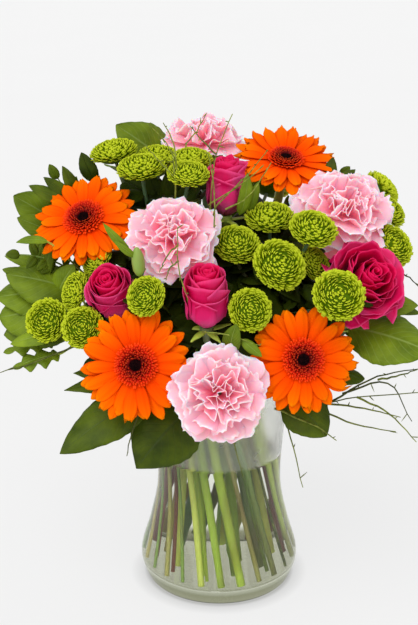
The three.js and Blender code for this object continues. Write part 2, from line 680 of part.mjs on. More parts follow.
const glass = new THREE.Mesh(makeVase(), new THREE.MeshStandardMaterial({
  color: 0xdfe8e2, roughness: 0.05, metalness: 0, transparent: true, opacity: 0.35,
}));
glass.name = "vase";
const water = new THREE.Mesh(makeWater(stemsInWater), new THREE.MeshStandardMaterial({
  color: 0xd3dfc9, roughness: 0.05, metalness: 0, transparent: true, opacity: 0.3,
}));
water.name = "water";
bouquet.add(glass, water);

export default bouquet;
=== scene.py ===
import math
import random

import bmesh
import bpy
from mathutils import Matrix, Vector, noise


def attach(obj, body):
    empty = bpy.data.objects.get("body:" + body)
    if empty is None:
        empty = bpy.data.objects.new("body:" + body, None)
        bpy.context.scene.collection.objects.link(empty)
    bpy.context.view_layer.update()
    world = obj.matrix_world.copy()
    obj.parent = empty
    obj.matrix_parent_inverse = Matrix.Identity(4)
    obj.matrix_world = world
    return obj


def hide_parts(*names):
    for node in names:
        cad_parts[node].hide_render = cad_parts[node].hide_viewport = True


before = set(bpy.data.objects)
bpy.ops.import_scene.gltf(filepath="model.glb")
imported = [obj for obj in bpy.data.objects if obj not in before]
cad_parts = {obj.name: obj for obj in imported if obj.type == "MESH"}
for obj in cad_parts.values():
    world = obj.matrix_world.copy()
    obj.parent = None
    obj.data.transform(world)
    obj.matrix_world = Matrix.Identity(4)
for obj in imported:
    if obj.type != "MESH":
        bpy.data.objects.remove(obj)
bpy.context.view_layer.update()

mm = 0.001
fullTurn = 2 * math.pi
goldenAngle = math.pi * (3 - math.sqrt(5))
skyward = Vector((0, 0, 1))
toMetres = Matrix.Scale(mm, 4)
toMillimetres = Matrix.Scale(1000, 4)
scene = bpy.context.scene
scene.view_settings.view_transform = "Standard"

# The bouquet stands in its vase as a twisted sheaf: each stem has its place in one of four rings
# where they are bound, just above the rim, and runs straight down from there to its cut end.
sheaf = {
    "bindingHeight": 207, "footHeight": 14, "front": -math.pi / 2,
    "outer": {"places": 21, "binding": 33, "foot": 55},
    "middle": {"places": 9, "binding": 18, "foot": 35},
    "between": {"places": 10, "binding": 25.6, "foot": 45},  # for the stalks of the inner greens
    "inner": {"places": 3, "binding": 6, "foot": 14},
    "heart": (0, 15, 225),  # the middle of the dome of flowers
    "stepsBelow": 24, "bend": 0.4,
}


def rows(names, *values):  # a dictionary for each row, and a short row leaves its last names out
    return [dict(zip(names.split(), row)) for row in values]


# Where each bloom's base is, the way it faces, its size and its stem's place, in millimetres.
gerberas = rows(
    "node at faces size ring place lift",
    ("gerbera_front_left", (-66, -99, 237), (-0.05, -0.93, 0.37), 45, "outer", 19),
    ("gerbera_front_right", (64, -95, 240), (0.12, -0.92, 0.38), 43, "outer", 3),
    ("gerbera_left", (-111, -7, 328), (-0.2, -0.62, 0.76), 44, "middle", 7),
    ("gerbera_top", (56, 48, 364), (0.1, -0.36, 0.93), 43.5, "middle", 3, 8),
)
carnations = rows(
    "node at faces size ring place",
    ("carnation_front", (-1, -112, 219), (0, -0.94, 0.34), 38, "outer", 0),
    ("carnation_centre", (-37, -50, 323), (-0.1, -0.7, 0.7), 38, "middle", 8),
    ("carnation_right", (101, 0, 331), (0.2, -0.55, 0.81), 41, "middle", 2),
    ("carnation_top", (-14, 86, 368), (0, -0.15, 0.99), 36, "middle", 4),
    ("carnation_back", (92, 92, 283), (0.64, 0.64, 0.42), 36, "outer", 8),
)
roses = rows(
    "node at faces size ring place tall open",
    ("rose_centre", (-11, -80, 264), (0, -0.3, 0.95), 17.5, "middle", 0, 1.3),
    ("rose_left", (-82, -52, 268), (-0.22, -0.55, 0.8), 18, "outer", 18),
    ("rose_right", (108, -45, 282), (0.35, -0.72, 0.6), 23.5, "outer", 5, 1, 1),
    ("rose_top", (5, -4, 334), (0.02, 0, 1), 18, "inner", 0, 1.12),
    ("rose_back", (-74, 96, 276), (-0.5, 0.7, 0.5), 21, "outer", 12),
)
# A spray is one branching stem with a pompon on each branch: its middle, its radius, and for some
# which way it is turned.
sprays = rows(
    "node fork ring place heads",
    ("pompons_top_left", (-52, 34, 300), "middle", 6, [
        ((-90, 42, 376), 19, (-0.2, -0.05, 1)), ((-65, 8, 370), 19, (-0.08, -0.15, 1)),
        ((-53, 50, 370), 17, (0, -0.1, 1)), ((-24, 22, 374), 17, (0, -0.1, 1)),
        ((-26, -18, 371), 16, (0.05, -0.3, 0.95))]),
    ("pompons_centre", (42, -32, 268), "middle", 1, [
        ((41, -20, 335), 19, (0, -0.25, 0.97)), ((74, -50, 334), 18, (0.2, -0.45, 0.87)),
        ((13, -42, 319), 18), ((76, -38, 302), 15), ((46, -78, 313), 20)]),
    ("pompons_right", (112, 20, 272), "outer", 7, [
        ((142, 60, 340), 17), ((143, 24, 330), 16, (0.6, -0.3, 0.75)),
        ((143, -8, 308), 18, (0.45, -0.6, 0.65))]),
    ("pompons_low_right", (54, -48, 262), "outer", 2, [
        ((90, -108, 298), 19, (0.1, -0.8, 0.6)), ((23, -96, 282), 16)]),
    ("pompons_left", (-88, -34, 238), "outer", 17, [
        ((-100, -30, 301), 15), ((-117, -50, 282), 15), ((-141, -50, 257), 17, (-0.3, -0.8, 0.5)),
        ((-110, -72, 259), 16, (-0.1, -0.85, 0.5)), ((-58, -92, 292), 15)]),
    ("pompons_back", (14, 82, 278), "outer", 10, [
        ((46, 112, 330), 18), ((6, 132, 300), 19), ((-42, 122, 320), 17)]),
)
# A leafy stem ends at its top. Each leaf: from, to, width, faces, tone, and for some how full its tip is
# (lower is fuller) and whether it is lobed.
leafyStems = rows(
    "node top ring place leaves",
    ("leaves_front_left", (-50, -62, 205), "outer", 20, [
        ((-60, -74, 199), (-129, -100, 161), 41, (-0.2, -0.7, 0.7), 0.18, 0.95),
        ((-26, -73, 188), (-68, -94, 145), 60, (0.1, -0.9, 0.4), 0.1, 1.0),
        ((-72, -62, 206), (-126, -78, 207), 20, (0, -0.6, 0.8), 0.1, 1.1),
        ((-78, -62, 210), (-119, -70, 219), 16, (0, -0.6, 0.8), 0.15, 1.0)]),
    ("leaves_front_right", (48, -58, 203), "outer", 4, [
        ((56, -70, 201), (86, -90, 172), 40, (0.2, -0.9, 0.5), 0.2),
        ((80, -50, 214), (120, -50, 206), 26, (0.2, -0.4, 0.9), 0.3)]),
    ("leaves_right", (92, -22, 236), "outer", 6, [
        ((106, -42, 248), (168, -70, 238), 54, (0, -0.55, 0.84), 0.8, 0.72),
        ((118, -8, 256), (166, -30, 256), 24, (0.2, -0.4, 0.9), 0.4),
        ((104, 6, 232), (164, 20, 210), 36, (0.4, -0.3, 0.85), 0.3),
        ((128, -36, 262), (162, -44, 268), 20, (0.1, -0.7, 0.7), 0.7),
        ((110, -30, 240), (160, -40, 224), 30, (0.2, -0.6, 0.8), 0.5)]),
    ("leaves_back_right", (72, 62, 228), "outer", 9, [
        ((92, 72, 232), (146, 104, 206), 38, (0.4, 0.5, 0.75), 0.3),
        ((58, 84, 226), (72, 146, 196), 42, (0.1, 0.6, 0.8), 0.5),
        ((110, 54, 262), (162, 62, 278), 34, (0.5, 0, 0.85), 0.4)]),
    ("leaves_back", (-10, 76, 226), "outer", 11, [
        ((8, 92, 224), (16, 156, 196), 42, (0, 0.6, 0.8), 0.3),
        ((-34, 88, 226), (-52, 150, 204), 40, (-0.1, 0.6, 0.8), 0.4),
        ((-8, 96, 256), (-14, 156, 262), 34, (0, -0.1, 1), 0.6)]),
    ("leaves_back_left", (-88, 40, 238), "outer", 13, [
        ((-124, 42, 304), (-175, 28, 342), 42, (-0.1, -0.75, 0.65), 0.6),
        ((-118, 62, 252), (-170, 84, 236), 40, (-0.4, 0.3, 0.85), 0.4),
        ((-96, 76, 238), (-136, 124, 214), 38, (-0.4, 0.4, 0.8), 0.3),
        ((-130, 20, 306), (-170, 8, 328), 24, (-0.1, -0.8, 0.6), 0.6),
        ((-126, 22, 336), (-160, 15, 354), 14, (-0.1, -0.8, 0.6), 0.3),
        ((-120, 26, 336), (-148, 20, 360), 13, (-0.1, -0.8, 0.6), 0.2),
        ((-117, 30, 340), (-132, 22, 369), 12, (-0.1, -0.8, 0.6), 0.2),
        ((-140, -32, 319), (-165, -38, 320), 9, (-0.1, -0.6, 0.8), 1.0),
        ((-106, 36, 352), (-117, 34, 378), 15, (-0.1, -0.9, 0.3), 0.0),
        ((-146, 4, 322), (-158, -6, 283), 12, (-0.1, -1, 0.1), 0.5),
        ((-138, -6, 318), (-147, -12, 272), 12, (-0.1, -1, 0.1), 0.4),
        ((-146, 0, 286), (-181, 0, 297), 11, (-0.1, -0.8, 0.6), 0.6),
        ((-150, 6, 276), (-184, 4, 284), 13, (-0.1, -0.8, 0.6), 0.5)]),
    ("leaves_left", (-104, -14, 240), "outer", 15, [
        ((-130, -8, 266), (-186, -22, 268), 46, (-0.1, -0.6, 0.8), 0.75),
        ((-138, -34, 233), (-178, -50, 229), 22, (-0.1, -0.5, 0.86), 0.75, 0.82, True),
        ((-132, -46, 226), (-170, -60, 219), 20, (-0.1, -0.6, 0.8), 0.9, 0.82, True),
        ((-118, 6, 236), (-176, 16, 222), 38, (-0.3, -0.1, 0.95), 0.5),
        ((-122, -16, 272), (-178, -16, 286), 44, (-0.1, -0.6, 0.8), 0.6, 0.8),
        ((-118, -26, 258), (-184, -28, 252), 54, (-0.1, -0.7, 0.7), 0.7, 0.75),
        ((-120, -30, 250), (-180, -32, 238), 44, (-0.1, -0.7, 0.7), 0.6, 0.8),
        ((-136, -18, 268), (-120, -24, 297), 22, (-0.2, -0.9, 0.3), 0.95),
        ((-134, -52, 246), (-171, -56, 239), 16, (-0.1, -0.6, 0.8), 0.9)]),
    ("leaves_top", (-24, 88, 320), "middle", 5, [
        ((-42, 98, 350), (-91, 92, 390), 52, (0.28, -0.76, 0.6), 0.62, 0.88),
        ((-56, 98, 330), (-104, 112, 350), 34, (-0.2, 0.4, 0.9), 0.4),
        ((-10, 108, 336), (-12, 146, 366), 30, (0, -0.6, 0.8), 0.4)]),
)
sprigs = rows(
    "node route leaflet ring place",
    ("sprig_left", [(-102, 44, 286), (-124, 52, 324), (-139, 48, 352)], (22, 9), "outer", 14),
    ("sprig_far_left", [(-120, 2, 278), (-138, -8, 300), (-165, -20, 304)], (18, 8), "outer", 16),
    ("sprig_right", [(40, 70, 300), (86, 70, 332), (106, 70, 350)], (18, 8), "inner", 1),
)
twigs = rows(
    "node age stout ring place route shoots",
    ("twigs_right", 0.6, 1.25, "outer", 1,
     [(22, -66, 206), (72, -66, 190), (112, -68, 197), (168, -74, 204)], [
         [(72, -66, 190), (110, -80, 178), (142, -90, 176)],
         [(92, -67, 193), (128, -66, 214), (166, -62, 220)],
         [(50, -66, 196), (58, -82, 166), (68, -90, 126)],
         [(112, -68, 197), (138, -76, 186), (160, -84, 164)],
         [(84, -70, 192), (117, -80, 192), (146, -84, 186)],
         [(128, -70, 213), (146, -70, 217), (160, -70, 222)],
         [(100, -68, 200), (136, -72, 211), (157, -74, 178)],
         [(44, -80, 192), (78, -90, 180), (94, -92, 169)],
         [(6, -90, 196), (10, -98, 176), (18, -102, 142)],
         [(-60, -80, 206), (-70, -96, 180), (-75, -102, 160)],
         [(-112, -52, 238), (-151, -60, 225), (-180, -62, 216)],
         [(132, -20, 292), (150, -30, 291), (163, -34, 281)]]),
    ("twigs_top", 0.15, 1.0, "inner", 2,
     [(-9, -27, 300), (-8, -29, 350), (-3, -20, 388), (10, -4, 418)], [
         [(-8, -29, 350), (14, -38, 366), (34, -42, 384)],
         [(-3, -20, 388), (-14, -24, 400), (-24, -24, 412)],
         [(-30, 10, 372), (-29, 30, 384), (-19, 34, 397), (-11, 36, 411)],
         [(-36, -30, 350), (-37, -26, 380), (-41, -22, 394), (-57, -20, 413)],
         [(-34, -26, 370), (-38, -14, 396), (-46, -10, 412)],
         [(-38, -26, 372), (-46, -22, 380), (-60, -20, 395)],
         [(-9, -27, 320), (-3, -50, 353), (21, -50, 378), (37, -48, 398)],
         [(4, -48, 350), (22, -46, 360), (40, -44, 387)],
         [(-9, -27, 305), (-5, -56, 332), (-5, -54, 371), (-10, -46, 395)],
         [(-24, -80, 280), (-26, -100, 294), (-32, -104, 317), (-33, -100, 349)],
         [(-33, -101, 336), (-42, -102, 326), (-47, -100, 314)],
         [(-32, -103, 324), (-39, -103, 318), (-42, -101, 308)],
         [(-14, -92, 262), (-11, -108, 268), (3, -112, 268), (30, -110, 258)]]),
)


# Small maths
def ease(x):
    x = min(1.0, max(0.0, x))
    return x * x * (3 - 2 * x)


def mix(a, b, share):
    return a + (b - a) * share


def limit(x):
    return min(1, max(0, x))


def polar(turn, out, up):
    return Vector((out * math.cos(turn), out * math.sin(turn), up))


def around(turn, out, aside, up):  # a point beside the line that runs out in that direction
    return Matrix.Rotation(turn, 3, "Z") @ Vector((out, aside, up))


def anyWay(dice, size=1):
    return Vector([dice.uniform(-size, size) for _ in range(3)])


def makeEach(make, pieces, seed):
    for number, piece in enumerate(pieces):
        make(piece, seed + number)


def bezier(a, b, c, d, t):
    s = 1 - t
    return a * s ** 3 + b * (3 * s * s * t) + c * (3 * s * t * t) + d * t ** 3


def curve(a, b, c, d, steps):
    return [bezier(a, b, c, d, i / steps) for i in range(steps + 1)]


def smoothLine(points, steps):  # a curve through given points, Catmull-Rom
    ends = [points[0] * 2 - points[1], *points, points[-1] * 2 - points[-2]]
    line = []
    for a, b, c, d in zip(ends, ends[1:], ends[2:], ends[3:]):
        for i in range(steps):
            t = i / steps
            line.append(0.5 * (b * 2 + (c - a) * t + (a * 2 - b * 5 + c * 4 - d) * t ** 2
                               + (b * 3 - a - c * 3 + d) * t ** 3))
    return line + [points[-1]]


def taper(count, start, end):
    return [mix(start, end, i / (count - 1)) for i in range(count)]


def seatOf(flower):  # carries a bloom that faces +Z at the origin to its place, and millimetres to metres
    turn = skyward.rotation_difference(Vector(flower["faces"]))
    return toMetres @ Matrix.Translation(flower["at"]) @ turn.to_matrix().to_4x4()


def stemLine(flower, end, arrives, steps=14):
    ring = sheaf[flower["ring"]]
    turn = sheaf["front"] + fullTurn * flower["place"] / ring["places"]
    low = polar(turn + math.acos(ring["binding"] / ring["foot"]), ring["foot"], sheaf["footHeight"])
    waist = polar(turn, ring["binding"], sheaf["bindingHeight"])
    reach = sheaf["bend"] * (end - waist).length
    below = [low.lerp(waist, i / sheaf["stepsBelow"]) for i in range(sheaf["stepsBelow"])]
    return below + curve(waist, waist + (waist - low).normalized() * reach, end - arrives * reach, end, steps)


# Mesh tools
def newMesh():
    bm = bmesh.new()
    bm.loops.layers.uv.new("UVMap")
    bm.verts.layers.float.new("tone")
    return bm


# A sheet is a grid whose points are carried to a shape, given by side (-1 to 1) and along (0 to 1).
def sheet(bm, grid, shape, tone, material=0):
    uv = bm.loops.layers.uv.active
    tones = bm.verts.layers.float["tone"]
    made = bmesh.ops.create_grid(bm, x_segments=grid[0], y_segments=grid[1], size=1)["verts"]
    for face in {face for vert in made for face in vert.link_faces}:
        face.material_index = material
        face.smooth = True
        for loop in face.loops:
            loop[uv].uv = (loop.vert.co.x * 0.5 + 0.5, loop.vert.co.y * 0.5 + 0.5)
    for vert in made:
        vert.co = shape(vert.co.x, vert.co.y * 0.5 + 0.5)
        vert[tones] = tone


# Round tubes along lines of points, given as (points, radii, tone) in millimetres.
def tubes(bm, lines, resolution=2, material=0):
    for points, radii, tone in lines:
        line = bpy.data.curves.new("line", "CURVE")
        line.dimensions = "3D"
        line.bevel_depth = 1
        line.bevel_resolution = resolution
        line.use_fill_caps = True
        spline = line.splines.new("POLY")
        spline.points.add(len(points) - 1)
        for made, point, radius in zip(spline.points, points, radii):
            made.co = (*point, 1)
            made.radius = radius
        holder = bpy.data.objects.new("line", line)
        mesh = bpy.data.meshes.new_from_object(holder)
        firstVert, firstFace = len(bm.verts), len(bm.faces)
        bm.from_mesh(mesh)
        bm.verts.ensure_lookup_table()
        bm.faces.ensure_lookup_table()
        tones = bm.verts.layers.float["tone"]
        for vert in bm.verts[firstVert:]:
            vert[tones] = tone
        for face in bm.faces[firstFace:]:
            face.material_index = material
            face.smooth = True
        bpy.data.objects.remove(holder)
        bpy.data.meshes.remove(mesh)
        bpy.data.curves.remove(line)


def ball(bm, centre, radii, subdivisions=3, tone=0.0, material=0, seat=Matrix()):
    place = seat @ Matrix.Translation(centre) @ Matrix.Diagonal(radii).to_4x4()
    for vert in bmesh.ops.create_icosphere(bm, subdivisions=subdivisions, radius=1, matrix=place)["verts"]:
        vert[bm.verts.layers.float["tone"]] = tone
        for face in vert.link_faces:
            face.material_index = material
            face.smooth = True


def thicken(bm, thickness):  # gives the sheets made so far their two sides
    bmesh.ops.solidify(bm, geom=bm.faces[:], thickness=thickness)


def finishPiece(name, bm, kinds, nodes, carry=toMetres, thickness=0.0):
    bmesh.ops.transform(bm, matrix=carry, verts=bm.verts)
    mesh = bpy.data.meshes.new(name)
    bm.to_mesh(mesh)
    bm.free()
    for kind in kinds:
        mesh.materials.append(finishes[kind])
    piece = bpy.data.objects.new(name, mesh)
    scene.collection.objects.link(piece)
    if thickness:
        solid = piece.modifiers.new("thickness", "SOLIDIFY")
        solid.thickness = thickness * mm
        solid.offset = 0
    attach(piece, "root")
    if nodes:
        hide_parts(*nodes)


# Materials
class Wire:
    def __init__(self, shader, socket):
        self.shader = shader
        self.socket = socket

    def maths(self, operation, *values):
        return self.shader.add("ShaderNodeMath", {"operation": operation}, dict(enumerate(values or [self])))

    def __add__(self, other):
        return self.maths("ADD", self, other)

    def __sub__(self, other):
        return self.maths("SUBTRACT", self, other)

    def __rsub__(self, other):
        return self.maths("SUBTRACT", other, self)

    def __mul__(self, other):
        return self.maths("MULTIPLY", self, other)

    __radd__ = __add__
    __rmul__ = __mul__


class Shader:
    def __init__(self, name, **principled):
        self.material = bpy.data.materials.new(name)
        self.material.use_nodes = True
        self.tree = self.material.node_tree
        self.surface = self.tree.nodes["Principled BSDF"]
        for socket, value in principled.items():
            self.surface.inputs[socket.replace("_", " ")].default_value = value

    def add(self, kind, settings, sockets, out=0):
        node = self.tree.nodes.new(kind)
        for key, value in settings.items():
            if key == "stops":  # each is its place and its colour, or one number for a grey
                elements = node.color_ramp.elements
                while len(elements) < len(value):
                    elements.new(0.5)
                for element, (position, *colour) in zip(elements, value):
                    element.position = position
                    element.color = (*(colour * 3 if len(colour) == 1 else colour), 1)
            else:
                setattr(node, key, value)
        for key, value in sockets.items():
            self.feed(node.inputs[key], value)
        return Wire(self, node.outputs[out])

    def feed(self, socket, value):
        if isinstance(value, Wire):
            self.tree.links.new(value.socket, socket)
        else:
            socket.default_value = value

    def ramp(self, value, *stops):
        return self.add("ShaderNodeValToRGB", {"stops": stops}, {0: value})

    def span(self, value, low, high, atLow, atHigh):
        return self.add("ShaderNodeMapRange", {}, {0: value, 1: low, 2: high, 3: atLow, 4: atHigh})

    def blend(self, share, a, b, way="MIX"):  # colours: sockets 0, 6 and 7 are factor, A and B
        kind = {"data_type": "RGBA", "blend_type": way}
        return self.add("ShaderNodeMix", kind, {0: share, 6: a, 7: b}, out=2)

    def place(self, *size):
        spot = self.add("ShaderNodeTexCoord", {}, {}, out=3)
        return self.add("ShaderNodeMapping", {}, {0: spot, 3: size * 3 if len(size) == 1 else size})

    def sheetSide(self, out):  # the sheet's own u (0) or v (1)
        spot = self.add("ShaderNodeTexCoord", {}, {}, out=2)
        return self.add("ShaderNodeSeparateXYZ", {}, {0: spot}, out=out)

    def tone(self):
        return self.add("ShaderNodeAttribute", {"attribute_name": "tone"}, {}, out=2)

    def cloud(self, where, detail):
        return self.add("ShaderNodeTexNoise", {}, {0: where, "Scale": 1.0, "Detail": detail})

    def streaks(self, across, along):  # fine lines that run along a sheet, new on each
        shift = self.add("ShaderNodeCombineXYZ", {}, {0: self.tone() * 41.0})
        spot = self.add("ShaderNodeTexCoord", {}, {}, out=2)
        where = self.add("ShaderNodeMapping", {}, {0: spot, 1: shift, 3: (across, along, 1.0)})
        return self.cloud(where, 2.0)

    def bump(self, height, strength, distance):
        sockets = {"Height": height, "Strength": strength, "Distance": distance * mm}
        self.feed(self.surface.inputs["Normal"], self.add("ShaderNodeBump", {}, sockets))

    def letLightThrough(self, tint):  # lamps light what stands behind glass
        path = self.add("ShaderNodeLightPath", {}, {}, out=1)
        clear = self.add("ShaderNodeBsdfTransparent", {}, {0: tint})
        glassy = Wire(self, self.surface.outputs[0])
        mixed = self.add("ShaderNodeMixShader", {}, {0: path, 1: glassy, 2: clear})
        self.feed(self.tree.nodes["Material Output"].inputs[0], mixed)
        return self.material

    def wear(self, socket, value):
        self.feed(self.surface.inputs[socket], value)
        return self.material


def gerberaRayFinish():
    shader = Shader("gerberaRay", Roughness=0.7, Specular_IOR_Level=0.02)
    across = shader.sheetSide(0) - 0.5
    colour = shader.ramp(
        shader.sheetSide(1), (0.0, 0.70, 0.02, 0.0), (0.22, 0.92, 0.055, 0.0), (0.5, 1.0, 0.105, 0.0),
        (0.85, 1.0, 0.18, 0.0), (1.0, 1.0, 0.29, 0.0))
    streaks = shader.streaks(26.0, 1.2)
    colour = shader.blend(streaks * 0.6, colour, (0.92, 0.06, 0.0, 1))
    margin = shader.span(across.maths("ABSOLUTE"), 0.36, 0.5, 0.0, 0.5)
    colour = shader.blend(margin, colour, (0.86, 0.05, 0.0, 1))
    light = shader.ramp(shader.tone(), (0.0, 0.9, 0.76, 0.7), (1.0, 1.0, 1.12, 1.0))
    shader.bump(streaks, 0.5, 0.3)
    return shader.wear("Base Color", shader.blend(1.0, colour, light, "MULTIPLY"))


def gerberaFringeFinish():
    shader = Shader("gerberaFringe", Roughness=0.6, Specular_IOR_Level=0.1)
    along = shader.sheetSide(1)
    body = shader.ramp(
        shader.tone(), (0.0, 0.97, 0.05, 0.0), (0.3, 0.76, 0.016, 0.001), (0.65, 0.50, 0.007, 0.002),
        (1.0, 0.16, 0.003, 0.003))
    # Painted shade: each floret is darker towards its foot, deep among the others.
    paintedShade = shader.ramp(along, (0.1, 0.35, 0.3, 0.3), (0.8, 1.0))
    tip = shader.ramp(along, (0.78, 0.0), (1.0, 0.45))
    colour = shader.blend(tip, shader.blend(1.0, body, paintedShade, "MULTIPLY"), (0.98, 0.12, 0.01, 1))
    return shader.wear("Base Color", colour)


def eyeFinish():
    shader = Shader("gerberaEye", Roughness=0.9, Specular_IOR_Level=0.05)
    speck = shader.cloud(shader.place(500.0), 2.0)
    colour = shader.ramp(speck, (0.35, 0.003, 0.0015, 0.002), (0.75, 0.025, 0.004, 0.005))
    return shader.wear("Base Color", colour)


def carnationFinish():
    shader = Shader("carnationPetal", Roughness=0.65, Specular_IOR_Level=0.08, Emission_Strength=0.07,
                    Subsurface_Weight=0.7, Subsurface_Scale=3 * mm)
    patches = shader.cloud(shader.place(110.0), 2.0)
    spread = shader.sheetSide(1) + patches * 0.24 - 0.12
    inner = shader.ramp(
        spread, (0.0, 0.80, 0.04, 0.14), (0.4, 0.92, 0.16, 0.29), (0.7, 0.95, 0.32, 0.44),
        (0.92, 0.95, 0.46, 0.56), (1.0, 1.0, 0.74, 0.80))
    guard = shader.ramp(
        spread, (0.0, 0.85, 0.10, 0.22), (0.35, 0.95, 0.33, 0.44), (0.75, 0.96, 0.47, 0.56),
        (0.93, 0.97, 0.56, 0.64), (1.0, 1.0, 0.74, 0.80))
    colour = shader.blend(shader.tone(), inner, guard)
    shader.bump(shader.streaks(44.0, 3.0), 0.4, 0.3)
    # Painted light: the petals glow faintly in their own colour (Emission Strength 0.07 above), standing in
    # for light that shines through them into the deep folds.
    shader.wear("Emission Color", colour)
    return shader.wear("Base Color", colour)


def roseFinish():
    shader = Shader("rosePetal", Roughness=0.55, Specular_IOR_Level=0.12)
    along = shader.sheetSide(1)
    inner = shader.ramp(
        along, (0.0, 0.20, 0.0, 0.016), (0.6, 0.50, 0.0, 0.042), (0.9, 0.76, 0.0, 0.075),
        (1.0, 0.86, 0.01, 0.12))
    outer = shader.ramp(
        along, (0.0, 0.46, 0.14, 0.20), (0.2, 0.62, 0.10, 0.26), (0.5, 0.72, 0.02, 0.17),
        (0.9, 0.72, 0.002, 0.10), (1.0, 0.92, 0.08, 0.28))
    fade = shader.ramp(shader.cloud(shader.place(45.0), 1.0), (0.42, 0.0), (0.62, 0.6))
    outer = shader.blend(fade, outer, (0.74, 0.09, 0.30, 1))
    veins = shader.streaks(32.0, 2.0)
    colour = shader.blend(veins * 0.4, shader.blend(shader.tone(), inner, outer), (0.46, 0.0, 0.06, 1))
    shader.bump(veins, 0.35, 0.25)
    return shader.wear("Base Color", colour)


def pomponFinish():
    shader = Shader("pomponFloret", Roughness=0.7, Specular_IOR_Level=0.03)
    # Painted shade and highlight: each floret is darker towards its foot, in the valleys between florets, and
    # brightest at its tip.
    colour = shader.ramp(
        shader.sheetSide(1), (0.0, 0.03, 0.06, 0.001), (0.3, 0.13, 0.19, 0.002), (0.62, 0.36, 0.46, 0.003),
        (1.0, 0.62, 0.70, 0.035))
    # tone darkens the florets towards deep green: painted shade at the middle of the crown, under the head
    # and on the core ball, with a random share per floret.
    return shader.wear("Base Color", shader.blend(shader.tone() * 0.65, colour, (0.10, 0.18, 0.003, 1)))


def leafFinish(name, paintedShade):  # paintedShade: how far the leaves deep in the bouquet are darkened towards black, as painted shade
    shader = Shader(name, Specular_IOR_Level=0.14 * (1 - paintedShade))
    side = (shader.sheetSide(0) - 0.5).maths("ABSOLUTE")
    wave = (shader.sheetSide(1) * 9.0 - side * 7.0).maths("FRACT")
    rib = shader.span(side, 0.008, 0.028, 1.0, 0.0)
    vein = shader.span((wave - 0.5).maths("ABSOLUTE"), 0.03, 0.1, 1.0, 0.0)
    mottle = shader.cloud(shader.place(60.0), 5.0)
    dark = shader.ramp(mottle, (0.3, 0.014, 0.028, 0.001), (0.7, 0.055, 0.085, 0.001))
    bright = shader.ramp(mottle, (0.3, 0.12, 0.19, 0.006), (0.7, 0.24, 0.34, 0.014))
    tone = shader.tone()
    lines = shader.blend(tone, (0.012, 0.028, 0.001, 1), (0.32, 0.44, 0.09, 1))  # pale on bright leaves; dark on dark leaves, as painted shade in the grooves
    colour = shader.blend(vein * 0.25, shader.blend(tone, dark, bright), lines)
    colour = shader.blend(rib * 0.7, colour, lines)
    shader.bump(mottle * 0.5 - vein * 0.4 - rib, 0.5, 0.5)
    shader.wear("Roughness", mottle * 0.2 + 0.38)
    if paintedShade:
        # Painted shade: the whole leaf is darkened towards black, as if deep in the bouquet's shadow.
        colour = shader.blend(paintedShade, colour, (0.001, 0.003, 0.001, 1))
    return shader.wear("Base Color", colour)


def stemFinish():
    shader = Shader("stem", Subsurface_Weight=0.05, Subsurface_Scale=1 * mm)
    grain = shader.cloud(shader.place(300.0, 300.0, 25.0), 3.0)
    colour = shader.ramp(
        shader.tone(), (0.0, 0.80, 0.82, 0.20), (0.35, 0.44, 0.62, 0.05), (0.6, 0.09, 0.19, 0.09),
        (0.8, 0.52, 0.44, 0.12), (1.0, 0.24, 0.06, 0.05))
    brown = shader.ramp(shader.cloud(shader.place(28.0, 28.0, 11.0), 2.0), (0.52, 0.0), (0.68, 0.55))
    colour = shader.blend(brown, colour, (0.17, 0.07, 0.03, 1))
    shader.bump(grain, 0.4, 0.3)
    shader.wear("Roughness", grain * 0.25 + 0.35)
    return shader.wear("Base Color", shader.blend(grain * 0.35, colour, (0.10, 0.13, 0.015, 1)))


def twigFinish():
    shader = Shader("twig", Roughness=0.7, Specular_IOR_Level=0.2)
    grain = shader.cloud(shader.place(260.0), 3.0)
    young = shader.ramp(grain, (0.35, 0.12, 0.15, 0.015), (0.7, 0.32, 0.37, 0.06))
    old = shader.ramp(grain, (0.35, 0.016, 0.024, 0.006), (0.7, 0.07, 0.075, 0.02))
    shader.bump(grain, 0.6, 0.3)
    return shader.wear("Base Color", shader.blend(shader.tone(), young, old))


def glassFinish():
    shader = Shader("vaseGlass", Transmission_Weight=1.0, IOR=1.46, Specular_Tint=(0.4, 0.4, 0.4, 1),
                    Coat_Roughness=0.6, Coat_IOR=1.7)
    height = shader.add("ShaderNodeSeparateXYZ", {}, {0: shader.place(1000.0)}, out=2)
    wipe = shader.cloud(shader.place(30.0), 3.0)
    mist = shader.span(height, 121.0, 124.0, 0.0, 1.0)  # the glass above the water is hazy
    shader.wear("Roughness", mist * (wipe * 0.2 + 0.14) + wipe * 0.01 + 0.002)
    shader.wear("Coat Weight", mist)
    # Painted shade and refraction: the glass in the lowest 17 mm is dark olive, standing in for the stems and
    # greens seen through the thick foot.
    shader.wear("Base Color", shader.ramp(
        height * 0.005, (0.0, 0.16, 0.165, 0.085), (0.05, 0.22, 0.225, 0.13), (0.085, 0.94, 0.95, 0.91),
        (0.25, 0.98, 0.985, 0.965), (1.0, 0.975, 0.975, 0.97)))
    depth = shader.add("ShaderNodeVolumeAbsorption", {}, {"Color": (0.5, 0.54, 0.3, 1), "Density": 18.0})
    shader.feed(shader.tree.nodes["Material Output"].inputs["Volume"], depth)
    return shader.letLightThrough((0.95, 0.97, 0.94, 1))


def waterFinish():
    shader = Shader("water", Base_Color=(0.985, 0.99, 0.94, 1), Specular_Tint=(0.4, 0.4, 0.4, 1),
                    Roughness=0.0, Transmission_Weight=1.0, IOR=1.33)
    return shader.letLightThrough((0.98, 0.99, 0.96, 1))


